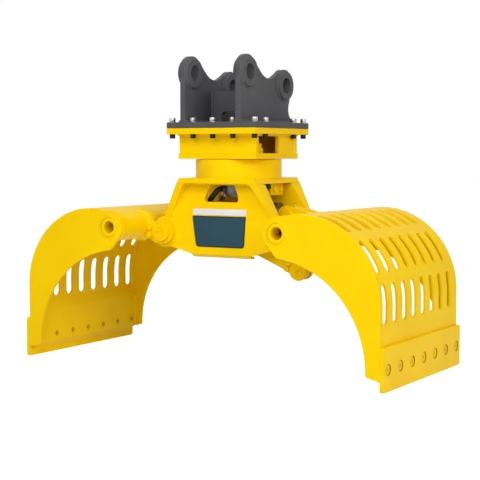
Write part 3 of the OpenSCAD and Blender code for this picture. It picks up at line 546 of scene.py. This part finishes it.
def flange_fasteners():
    """Zinc bolts through the bracket's base plate, with black nuts under the adapter's flange."""
    bolts = bmesh.new()
    nuts = bmesh.new()
    columns = (-BOLT_EDGE_X, -BOLT_MID_X, 0, BOLT_MID_X, BOLT_EDGE_X)
    spots = [(x, y) for x in columns for y in (-BOLT_EDGE_Y, BOLT_EDGE_Y)]
    spots += [(x, y) for x in (-BOLT_EDGE_X, BOLT_EDGE_X) for y in (-BOLT_MID_Y, BOLT_MID_Y)]
    for x, y in spots:
        turned(bolts, mm(x, y, BASE_TOP), Z, FLANGE_WASHER, sides=24)
        hexagon(bolts, mm(x, y, BASE_TOP + 1.5), Z, *FLANGE_HEAD, turn=chance.uniform(0, 1))
        hexagon(nuts, mm(x, y, FLANGE_Z), -Z, *FLANGE_NUT)
    bolt_piece = make_piece("flange_bolt_heads", bolts, [zinc], "bracket")
    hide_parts("flange_bolts")
    nut_piece = make_piece("flange_black_nuts", nuts, [black_steel], "bracket")
    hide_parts("flange_nuts")


def top_plate():
    """Thick plate on top of the panels, its ends sloped in line with the edge ribs."""
    mesh = bmesh.new()
    plate = Outline(mesh, mm(-RIB_TOP_X, -TOP_HALF_D, TOP_Z), Z)
    plate.line(mm(RIB_TOP_X, -TOP_HALF_D, TOP_Z))
    plate.line(mm(RIB_TOP_X, TOP_HALF_D, TOP_Z))
    plate.line(mm(-RIB_TOP_X, TOP_HALF_D, TOP_Z))
    edges = plate.close()
    edges += round_hole(mesh, mm(0, 0, TOP_Z), TOP_HOLE_R, X, Z)
    cut_plate(mesh, edges, Z * (DECK_Z - TOP_Z) * MM)
    foot = RIB_TOP_X + RIB_SLOPE * (TOP_Z - DECK_Z)
    for vert in mesh.verts:
        if vert.co.z < (DECK_Z + 1) * MM and abs(vert.co.x) > (TOP_HOLE_R + 1) * MM:
            vert.co.x = math.copysign(foot * MM, vert.co.x)
    piece = make_piece("sloped_top_plate", mesh, [yellow_paint], "housing")
    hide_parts("top_plate")
    round_edges(piece, width=1.4)


def lip_seam(name, body, left):
    """The dressed weld that runs the thick lip out into the thinner shell."""
    mesh = bmesh.new()
    inner = WALL_X - SHELL_T
    half = SIDE_IN - 0.1
    corners = [
        (LIP_IN - 0.1, -4.2), (inner + 1.5, -4.2), (inner + 1.5, 22), (inner + 0.3, 22), (LIP_IN + 0.2, -1)]
    places = [mm(x, -half, LIP_TOP + rise) for x, rise in corners]
    seam = Outline(mesh, places[0], -Y)
    for place in places[1:]:
        seam.line(place)
    cut_plate(mesh, seam.close(), Y * 2 * half * MM)
    if left:
        mirror_x(mesh)
    make_piece(name, mesh, [yellow_paint], body)


def slot_rows():
    """Start and end of the three rows of slots, measured up the outside of the shell from the lip."""
    runs = [SLOT_FOOT] + [ARC_Z - LIP_TOP + math.radians(turn) * SHELL_R for turn in SLOT_BREAKS]
    return zip(runs[::2], runs[1::2])


def jaw_shell(name, body, left):
    """A slotted flat plate, rolled to the arc of the jaw above a straight foot."""
    mesh = bmesh.new()
    foot = ARC_Z - LIP_TOP
    length = foot + math.radians(SHELL_END) * SHELL_R
    sheet = Outline(mesh, mm(0, -SIDE_IN, 0), Z)
    sheet.line(mm(length, -SIDE_IN, 0))
    sheet.line(mm(length, SIDE_IN, 0))
    sheet.line(mm(0, SIDE_IN, 0))
    edges = sheet.close()
    half = SLOT_W / 2
    hand = 1 if left else -1
    for (low, high), shift in zip(slot_rows(), SLOT_SHIFTS):
        for column in range(SLOT_COLUMNS):
            y = (column - (SLOT_COLUMNS - 1) / 2) * SLOT_PITCH + hand * shift
            slot = Outline(mesh, mm(low + half, y - half, 0), Z)
            slot.line(mm(high - half, y - half, 0))
            slot.arc(mm(high - half, y, 0), 180, 12)
            slot.line(mm(low + half, y + half, 0))
            slot.arc(mm(low + half, y, 0), 168, 12)
            edges += slot.close()
    cut_plate(mesh, edges, -Z * SHELL_T * MM)
    # Cross lines give the flat plate the places where it bends
    for i in range(SHELL_BENDS + 1):
        bend = foot + (length - foot) * i / SHELL_BENDS
        bmesh.ops.bisect_plane(mesh, geom=mesh.verts[:] + mesh.edges[:] + mesh.faces[:], dist=MERGE_DISTANCE,
            plane_co=mm(bend - 0.01, 0, 0), plane_no=X)
    for vert in mesh.verts:
        run, y, depth = vert.co / MM
        turn = max(0, run - foot) / SHELL_R
        reach = SHELL_R + depth
        rise = LIP_TOP + run if run < foot else ARC_Z + reach * math.sin(turn)
        vert.co = mm(ARC_X + reach * math.cos(turn), y, rise)
    if left:
        mirror_x(mesh)
    piece = make_piece(name, mesh, [yellow_paint], body)
    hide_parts("jaw_shell_left" if left else "jaw_shell_right")
    round_edges(piece, width=0.7)


RIPPLE = 1.7
FOOT_RIPPLES = 40
ARC_RIPPLES = 200
ROOT_DEPTH = 0.4 * MM
FACE_LONG = 0.78
FACE_SHORT = 0.42


def bead_ring(corner, first, second, legs, swell):
    """Section of a fillet weld: its root just inside both walls and a full round face."""
    one = first * legs[0] * MM * swell
    two = second * legs[1] * MM * swell
    return [
        corner - (first + second) * ROOT_DEPTH,
        corner + one - second * ROOT_DEPTH,
        corner + one * FACE_LONG + two * FACE_SHORT,
        corner + one * FACE_SHORT + two * FACE_LONG,
        corner + two - first * ROOT_DEPTH,
    ]


def lay_bead(mesh, stations, legs, closed=False):
    """Extrudes the weld section from station to station, with the ripples of the arc."""
    first_ring = None
    ring = None
    for count, (corner, one, two) in enumerate(stations):
        swell = (1.06 if count % 2 else 0.95) + chance.uniform(-0.05, 0.05)
        places = bead_ring(corner, one, two, legs, swell)
        if ring is None:
            ring = [mesh.verts.new(p) for p in places]
            edges = [mesh.edges.new((ring[i], ring[(i + 1) % 5])) for i in range(5)]
            first_ring = ring
            if not closed:
                mesh.faces.new(ring)
            continue
        made = bmesh.ops.extrude_edge_only(mesh, edges=edges)["geom"]
        fresh = {v for v in made if isinstance(v, bmesh.types.BMVert)}
        edges = [e for e in made if isinstance(e, bmesh.types.BMEdge) and set(e.verts) <= fresh]
        after = []
        for old in ring:
            after.append(next(e.other_vert(old) for e in old.link_edges if e.other_vert(old) in fresh))
        for vert, place in zip(after, places):
            vert.co = place
        ring = after
    if closed:
        for i in range(5):
            j = (i + 1) % 5
            mesh.faces.new((ring[i], ring[j], first_ring[j], first_ring[i]))
    else:
        mesh.faces.new(ring)


def straight_bead(mesh, start, end, first, second, legs):
    """A bead along a corner: first and second point out along its two walls."""
    steps = max(2, round((end - start).length / (RIPPLE * MM)))
    lay_bead(mesh, [(start.lerp(end, i / steps), first, second) for i in range(steps + 1)], legs)


def round_bead(mesh, centre, radius, axis, along, legs, start=0, sweep=360, outward=1):
    """A bead round a tube: axis is Y or X or Z, along is the side of the wall it sits on."""
    if axis is Y:
        one, two = X, Z
    elif axis is X:
        one, two = Y, Z
    else:
        one, two = X, Y
    steps = max(8, round(math.radians(sweep) * radius / RIPPLE))
    whole = sweep >= 360
    stations = []
    for i in range(steps if whole else steps + 1):
        angle = math.radians(start + sweep * i / steps)
        ray = one * math.cos(angle) + two * math.sin(angle)
        stations.append((centre + ray * radius * MM, ray * outward, along))
    lay_bead(mesh, stations, legs, closed=whole)


def mirror_x(mesh):
    """Left-hand copy of a right-hand mesh."""
    bmesh.ops.scale(mesh, vec=(-1, 1, 1), verts=mesh.verts)
    bmesh.ops.reverse_faces(mesh, faces=mesh.faces)


def turned(mesh, centre, axis, profile, sides=32):
    """Spins a profile of (distance along the axis, radius) round the axis."""
    turn = Z.rotation_difference(axis).to_matrix()
    verts = []
    for along, radius in profile:
        verts.append(mesh.verts.new(centre + turn @ Vector((radius * MM, 0, along * MM))))
    edges = [mesh.edges.new((a, b)) for a, b in zip(verts, verts[1:])]
    bmesh.ops.spin(mesh, geom=verts + edges, cent=centre, axis=axis, angle=math.tau, steps=sides,
        use_merge=True)


def hexagon(mesh, centre, axis, across, height, chamfer=0.6, turn=0):
    """A hexagon head with its corners turned off."""
    radius = across / 2 / math.cos(math.pi / 6) * MM
    spin = Z.rotation_difference(axis).to_matrix().to_4x4()
    place = Matrix.Translation(centre + axis * height * MM / 2) @ spin @ Matrix.Rotation(turn, 4, "Z")
    made = bmesh.ops.create_cone(mesh, cap_ends=True, segments=6, radius1=radius, radius2=radius,
        depth=height * MM, matrix=place)["verts"]
    edges = {e for v in made for e in v.link_edges}
    bmesh.ops.bevel(mesh, geom=list(edges), offset=chamfer * MM, segments=1, profile=0.5, affect="EDGES",
        material=-1)


def panel_face_y(z):
    """Distance of the panel's outer face from the middle plane at a height."""
    return PANEL_Y - max(0, PANEL_LEAN * (z - BEND_Z) / (DECK_Z - BEND_Z))


def rib_inner_x(z):
    """Distance of the edge ribs' inner edges from the middle plane at a height."""
    return RIB_TOP_X + RIB_SLOPE * (TOP_Z - z) - RIB_W


def bracket_welds():
    """Welds round the lugs' feet, their bosses and the cross plate."""
    mesh = bmesh.new()
    for side in (-1, 1):
        for face in (-1, 1):
            x = side * LUG_X + face * LUG_HALF_T
            foot_front = mm(x, LUG_FRONT + 1, BASE_TOP)
            foot_rear = mm(x, LUG_REAR, BASE_TOP)
            straight_bead(mesh, foot_front, foot_rear, X * face, Z, (6, 6))
            for y, rise in (FRONT_EAR, REAR_EAR):
                round_bead(mesh, mm(x, y, BASE_TOP + rise), LUG_BOSS_R, X, X * face, (3.4, 3.4))
        inner = side * (LUG_X - LUG_HALF_T)
        straight_bead(mesh, mm(side * LUG_X - LUG_HALF_T, LUG_REAR, BASE_TOP),
            mm(side * LUG_X + LUG_HALF_T, LUG_REAR, BASE_TOP), Y, Z, (5, 5))
        for y, facing in ((CROSS_FRONT, -Y), (CROSS_REAR, Y)):
            seam = mm(side * CROSS_SEAM_X, y, BASE_TOP)
            corner = mm(inner, y, BASE_TOP + 4)
            straight_bead(mesh, corner, mm(inner, y, CROSS_TOP), X * -side, facing, (5, 5))
            straight_bead(mesh, seam, mm(inner, y, BASE_TOP), facing, Z, (5, 5))
    make_piece("bracket_welds", mesh, [bracket_grey], "bracket", 60)


def adapter_welds():
    """Welds of the adapter's box to its floor and flange, and down its rear corners."""
    mesh = bmesh.new()
    for z, up, legs in ((FLOOR_TOP, Z, (2.6, 5.5)), (FLANGE_Z, -Z, (5, 5))):
        for side in (-1, 1):
            straight_bead(mesh, mm(-BOX_X, side * BOX_Y, z), mm(BOX_X, side * BOX_Y, z), Y * side, up, legs)
            straight_bead(mesh, mm(side * BOX_X, -BOX_Y, z), mm(side * BOX_X, BOX_Y, z), X * side, up, legs)
    # The side walls butt against the rear wall
    for side in (-1, 1):
        low = mm(side * BOX_X, BOX_REAR_WALL, FLOOR_TOP)
        high = mm(side * BOX_X, BOX_REAR_WALL, FLANGE_Z)
        straight_bead(mesh, low, high, X * side, Y, (1.6, 5))
        straight_bead(mesh, low, high, X * side, -Y, (1.6, 3))
    make_piece("adapter_welds", mesh, [yellow_paint], "bracket", 60)


def housing_welds():
    """Welds of the neck, the edge ribs, the pivot bosses and the bottom plate."""
    mesh = bmesh.new()
    round_bead(mesh, mm(0, 0, TOP_Z), NECK_R, Z, Z, (3, 3))
    for front in (-1, 1):
        out = Y * front
        top_y = front * panel_face_y(DECK_Z)
        for side in (-1, 1):
            inward = X * -side
            high = mm(side * rib_inner_x(DECK_Z), top_y, DECK_Z)
            low = mm(side * rib_inner_x(RIB_LOW_Z), front * panel_face_y(RIB_LOW_Z), RIB_LOW_Z)
            end = mm(side * rib_inner_x(DECK_Z), front * (TOP_HALF_D - 1.3), DECK_Z)
            straight_bead(mesh, low, high, inward, out, (4.5, 4.5))
            straight_bead(mesh, high, end, inward, -Z, (4.5, 4.5))
            outer = mm(side * PIVOT_X, front * PANEL_Y, PIVOT_Z)
            round_bead(mesh, outer, PIVOT_BOSS_R, Y, out, (3, 3))
            round_bead(mesh, outer - out * PANEL_T * MM, PIVOT_BOSS_IN_R, Y, -out, (5, 5))
        width = rib_inner_x(DECK_Z)
        straight_bead(mesh, mm(-width, top_y, DECK_Z), mm(width, top_y, DECK_Z), out, -Z, (4, 4))
        left_end, right_end = (mm(x, front * BOTTOM_Y, BOTTOM_Z) for x in BOTTOM_X)
        straight_bead(mesh, left_end, right_end, -out, Z, (4, 4))
    make_piece("housing_welds", mesh, [yellow_paint], "housing", 60)


def jaw_welds(name, body, left):
    """Welds of one jaw: shell and lip to the side plates, and the tube to all that it carries."""
    mesh = bmesh.new()
    for side in (-1, 1):
        out = Y * side
        inner_face = side * SIDE_IN
        run = []
        for i in range(FOOT_RIPPLES):
            run.append((mm(WALL_X - SHELL_T, inner_face, LIP_TOP + 2 + i * RIPPLE), -X, -out))
        for i in range(ARC_RIPPLES + 1):
            angle = math.radians(FILLET_TURN * i / ARC_RIPPLES)
            ray = X * math.cos(angle) + Z * math.sin(angle)
            run.append((mm(ARC_X, inner_face, ARC_Z) + ray * SHELL_IN_R * MM, -ray, -out))
        lay_bead(mesh, run, (5, 5))
        straight_bead(mesh, mm(LIP_IN, inner_face, 36), mm(LIP_IN, inner_face, LIP_TOP - 3), -X, -out, (6, 6))
        round_bead(mesh, mm(TUBE_X, side * SIDE_OUT, TUBE_Z), SPIGOT_R - 1, Y, out, (5.5, 1.9))
        round_bead(mesh, mm(TUBE_X, inner_face, TUBE_Z), TUBE_R, Y, -out, (5, 5))
        for y, along in ((ARM_IN, -out), (ARM_OUT, out)):
            round_bead(mesh, mm(TUBE_X, side * y, TUBE_Z), TUBE_R, Y, along, (5, 5), start=92, sweep=266)
    ear_starts = ((CYLINDER_EAR_FACES, 108), (LINK_EAR_FACES, 122 if left else 192))
    for faces, start in ear_starts:
        for y, facing in faces:
            round_bead(mesh, mm(TUBE_X, y, TUBE_Z), TUBE_R, Y, Y * facing, (4.5, 4.5), start=start, sweep=112)
    if left:
        mirror_x(mesh)
    make_piece(name, mesh, [yellow_paint], body, 60)


STRIP_CORNERS = [(-82, 377.7), (74, 377.7), (74, 393), (-82, 393)]
PLATE_CORNERS = [(-71, 297), (69.5, 297), (75, 375), (-82, 375)]
PANEL_SEAT = 0.2 - PANEL_Y


def rounded_plate(mesh, corners, radii, thick):
    """A thin plate in the plane of the front panel, with its corners rounded."""
    verts = [mesh.verts.new(mm(x, PANEL_SEAT, z)) for x, z in corners]
    mesh.faces.new(verts)
    for vert, radius in zip(verts, radii):
        if radius:
            bmesh.ops.bevel(mesh, geom=[vert], offset=radius * MM, segments=6, profile=0.5, affect="VERTICES",
                material=-1)
    face = mesh.faces[:][0]
    solid = bmesh.ops.extrude_face_region(mesh, geom=[face])["geom"]
    lifted = [v for v in solid if isinstance(v, bmesh.types.BMVert)]
    bmesh.ops.translate(mesh, vec=-Y * thick * MM, verts=lifted)
    return next(f for f in solid if isinstance(f, bmesh.types.BMFace))


def press_on_panel(mesh):
    """Bends a flat plate round the panel's crease and leans it with the upper part."""
    bmesh.ops.bisect_plane(mesh, geom=mesh.verts[:] + mesh.edges[:] + mesh.faces[:], dist=MERGE_DISTANCE,
        plane_co=mm(0, 0, BEND_Z), plane_no=Z)
    for vert in mesh.verts:
        vert.co.y += (PANEL_Y - panel_face_y(vert.co.z / MM)) * MM


def front_plates():
    """The bare name strip and the teal plate under it, on the front panel; the teal plate's dark rim is
    painted shade.
    """
    mesh = bmesh.new()
    face = rounded_plate(mesh, STRIP_CORNERS, [0.8] * 4, thick=1.0)
    bmesh.ops.inset_region(mesh, faces=[face], thickness=0.0006, depth=0.00015)
    press_on_panel(mesh)
    make_piece("pale_name_strip", mesh, [pale_strip], "housing")

    mesh = bmesh.new()
    face = rounded_plate(mesh, PLATE_CORNERS, [7, 7, 0.8, 0.8], thick=1.6)
    # The plate's sides, back and a border round its face take the dark rim finish: painted shade for the
    # shadow lines at its edges.
    for other in mesh.faces:
        other.material_index = 1
    rim = bmesh.ops.inset_region(mesh, faces=[face], thickness=0.0016, depth=0)["faces"]
    for other in rim:
        other.material_index = 1
    bmesh.ops.inset_region(mesh, faces=[face], thickness=0.0005, depth=0.0003)
    face.material_index = 0
    press_on_panel(mesh)
    make_piece("teal_panel_plate", mesh, [teal_plate, teal_rim_painted_shade], "housing")


# Sections of small turned parts: distance along the axis, radius
# The head gap ring is a dark ring of painted shade, for the shaded gap round a countersunk bolt head.
HEAD_GAP_SHADE = [(0, 12), (0, 12.9), (0.8, 12.9), (0.8, 12.2), (0, 12)]
TIP_RING = [(0, 6.6), (0, 7.2), (1.2, 7.2), (1.2, 6.9), (0, 6.6)]
TIP_CENTRE = [(0, 0), (0, 2.8), (0.3, 2.8), (0.3, 0)]
NIPPLE_NECK = [(0, 0), (0, 2.6), (2, 2.2), (3, 1.7), (4, 2.5), (5.2, 2.9), (6.2, 2.4), (6.8, 1.2), (6.8, 0)]
KEEPER_WASHER = [(0, 4.4), (0, 8.6), (0.9, 8.6), (0.9, 4.4), (0, 4.4)]
# The eye ring is a dark ring of painted shade round the rim of the link's eye.
EYE_SHADE_RING = [(-0.9, 22.1), (-0.9, 22.9), (0.9, 22.9), (0.9, 22.1), (-0.9, 22.1)]


def blade_bolt_gap_shade(name, body, left):
    """Dark rings of painted shade in the gaps round the countersunk bolt heads in the blade and round the
    bolts' tips in the lip, with a dark dot on each tip.
    """
    mesh = bmesh.new()
    for i in range(BOLT_COUNT):
        y = (i - (BOLT_COUNT - 1) / 2) * BOLT_PITCH
        turned(mesh, mm(BLADE_FACE - 0.9, y, BOLT_Z), X, HEAD_GAP_SHADE, sides=40)
        turned(mesh, mm(LIP_IN + 1.5, y, BOLT_Z), -X, TIP_RING, sides=32)
        turned(mesh, mm(LIP_IN + 1.6, y, BOLT_Z), -X, TIP_CENTRE, sides=16)
    if left:
        mirror_x(mesh)
    make_piece(name, mesh, [painted_gap_shade], body)


def nipple(mesh, base, axis):
    """Grease nipple: hexagon, neck and ball."""
    hexagon(mesh, base, axis, 7, 3, chamfer=0.4)
    turned(mesh, base + axis * 2.8 * MM, axis, NIPPLE_NECK, sides=16)


def pin_cap_disc(mesh, centre, axis, radius, height):
    """Turned pad on a pin's cap, with a rounded rim and a shallow dish."""
    turned(mesh, centre, axis, [(-0.5, 0), (-0.5, radius), (height * 0.6, radius), (height, radius - 1),
        (height, radius - 4), (height - 0.8, radius - 5.5), (height - 0.8, 0)])


def pivot_details(name, body, left):
    """Pads and nipples on the pivot pins of one jaw."""
    pads = bmesh.new()
    nipples = bmesh.new()
    washers = bmesh.new()
    for side in (-1, 1):
        out = Y * side
        centre = mm(PIVOT_X, side * CAP_Y, PIVOT_Z)
        pin_cap_disc(pads, centre, out, radius=16.5, height=2.2)
        nipple(nipples, centre + out * 1.2 * MM + mm(3, 0, 3), out)
        for z in KEEPER_ZS:
            turned(washers, mm(KEEPER_X, side * KEEPER_Y, z), out, KEEPER_WASHER, sides=24)
    for mesh in (pads, nipples, washers):
        if left:
            mirror_x(mesh)
    make_piece("pin_pads_" + name, pads, [yellow_paint], body)
    make_piece("pin_nipples_" + name, nipples, [yellow_paint], body)
    make_piece("keeper_washers_" + name, washers, [yellow_paint], body)


def link_details():
    """Pad and nipple on the link's lower pin, and dark rings of painted shade round the rim of the link's eye
    at both its faces, for the shaded gaps beside it.
    """
    pad = bmesh.new()
    centre = mm(LINK_LOW[0], LINK_CAP_Y, LINK_LOW[1])
    pin_cap_disc(pad, centre, -Y, radius=14, height=2)
    nipple(pad, centre - Y * 1.1 * MM, -Y)
    make_piece("link_pin_pad", pad, [yellow_paint], "right_jaw")
    # Dark rings of painted shade at both faces of the link's eye.
    shade_rings = bmesh.new()
    for y in LINK_FACES:
        turned(shade_rings, mm(LINK_LOW[0], y, LINK_LOW[1]), Y, EYE_SHADE_RING, sides=48)
    make_piece("link_eye_shade_rings", shade_rings, [painted_gap_shade], "right_jaw")


finish_cad_parts()
lug_plates()
flange_fasteners()
top_plate()
side_plates("jaw_side_plates_right", "right_jaw", False)
side_plates("jaw_side_plates_left", "left_jaw", True)
jaw_shell("slotted_shell_right", "right_jaw", False)
jaw_shell("slotted_shell_left", "left_jaw", True)
lip_seam("lip_seam_right", "right_jaw", False)
lip_seam("lip_seam_left", "left_jaw", True)
bracket_welds()
adapter_welds()
housing_welds()
jaw_welds("jaw_welds_right", "right_jaw", False)
jaw_welds("jaw_welds_left", "left_jaw", True)
front_plates()
blade_bolt_gap_shade("blade_bolt_gap_shade_right", "right_jaw", False)
blade_bolt_gap_shade("blade_bolt_gap_shade_left", "left_jaw", True)
pivot_details("right", "right_jaw", False)
pivot_details("left", "left_jaw", True)
link_details()


# Floor, light and camera

CAMERA_PLACE = mm(1667.2, -2754.6, 536.4)
CAMERA_TARGET = mm(2.77, 1.67, 310.4)
FOCAL_LENGTH = 94.3
SENSOR_WIDTH = 36
LIGHT_TARGET = (0, 0, 0.3)
ROOM_LIGHT = 0.27


def seen_by_camera(nodes, links):
    """One for rays that the camera sees straight or mirrored, nought for all others."""
    path = nodes.new("ShaderNodeLightPath")
    either = nodes.new("ShaderNodeMath")
    either.operation = "MAXIMUM"
    links.new(path.outputs["Is Camera Ray"], either.inputs[0])
    links.new(path.outputs["Is Glossy Ray"], either.inputs[1])
    return either.outputs[0]


def studio_floor():
    """Pale floor that the camera sees as white but for the object's shadow."""
    mesh = bmesh.new()
    bmesh.ops.create_grid(mesh, x_segments=1, y_segments=1, size=12)
    data = bpy.data.meshes.new("studio_floor")
    mesh.to_mesh(data)
    mesh.free()
    floor = bpy.data.objects.new("studio_floor", data)
    bpy.context.scene.collection.objects.link(floor)
    paper = Finish("floor_paper", specular=0.1)
    paper.colour(paper.ramp(paper.noise(3), [(0.3, (0.9, 0.9, 0.9, 1)), (0.7, (0.92, 0.92, 0.92, 1))]))
    paper.roughness(paper.between(paper.noise(40), 0.85, 0.95))
    # What the camera sees straight or mirrored is lifted to white, and the shadow stays faintly
    seen = seen_by_camera(paper.nodes, paper.links)
    lift = paper.mix(seen, (0, 0, 0, 1), (0.75, 0.75, 0.75, 1))
    paper.links.new(lift, paper.shader.inputs["Emission Color"])
    paper.shader.inputs["Emission Strength"].default_value = 1
    data.materials.append(paper.material)


def white_world():
    """White room: soft for the object, full white for the camera."""
    world = bpy.data.worlds.new("white_room")
    world.use_nodes = True
    nodes = world.node_tree.nodes
    links = world.node_tree.links
    room = nodes["Background"]
    room.inputs["Color"].default_value = (1, 1, 1, 1)
    room.inputs["Strength"].default_value = ROOM_LIGHT
    seen = nodes.new("ShaderNodeBackground")
    seen.inputs["Color"].default_value = (1, 1, 1, 1)
    seen.inputs["Strength"].default_value = 1.0
    swap = nodes.new("ShaderNodeMixShader")
    links.new(seen_by_camera(nodes, links), swap.inputs["Fac"])
    links.new(room.outputs["Background"], swap.inputs[1])
    links.new(seen.outputs["Background"], swap.inputs[2])
    links.new(swap.outputs["Shader"], nodes["World Output"].inputs["Surface"])
    bpy.context.scene.world = world


def softbox(name, place, width, height, power):
    """An area light that faces the middle of the object."""
    lamp = bpy.data.lights.new(name, "AREA")
    lamp.shape = "RECTANGLE"
    lamp.size = width
    lamp.size_y = height
    lamp.energy = power
    holder = bpy.data.objects.new(name, lamp)
    bpy.context.scene.collection.objects.link(holder)
    holder.location = place
    holder.rotation_euler = (Vector(LIGHT_TARGET) - Vector(place)).to_track_quat("-Z", "Y").to_euler()


def photo_camera():
    """The camera of the photograph, found by fitting it to corners of the object."""
    lens = bpy.data.cameras.new("photo_camera")
    lens.lens = FOCAL_LENGTH
    lens.sensor_width = SENSOR_WIDTH
    camera = bpy.data.objects.new("photo_camera", lens)
    bpy.context.scene.collection.objects.link(camera)
    camera.location = CAMERA_PLACE
    camera.rotation_euler = (CAMERA_TARGET - CAMERA_PLACE).to_track_quat("-Z", "Y").to_euler()
    bpy.context.scene.camera = camera


studio_floor()
white_world()
softbox("front_softbox", (0.6, -3.2, 2.2), width=2.4, height=2.0, power=69)
softbox("right_softbox", (3.2, -1.4, 1.8), width=1.8, height=1.8, power=50)
softbox("top_softbox", (-0.4, 0.6, 3.4), width=2.2, height=2.2, power=27)
photo_camera()

bpy.context.scene.view_settings.view_transform = "Standard"
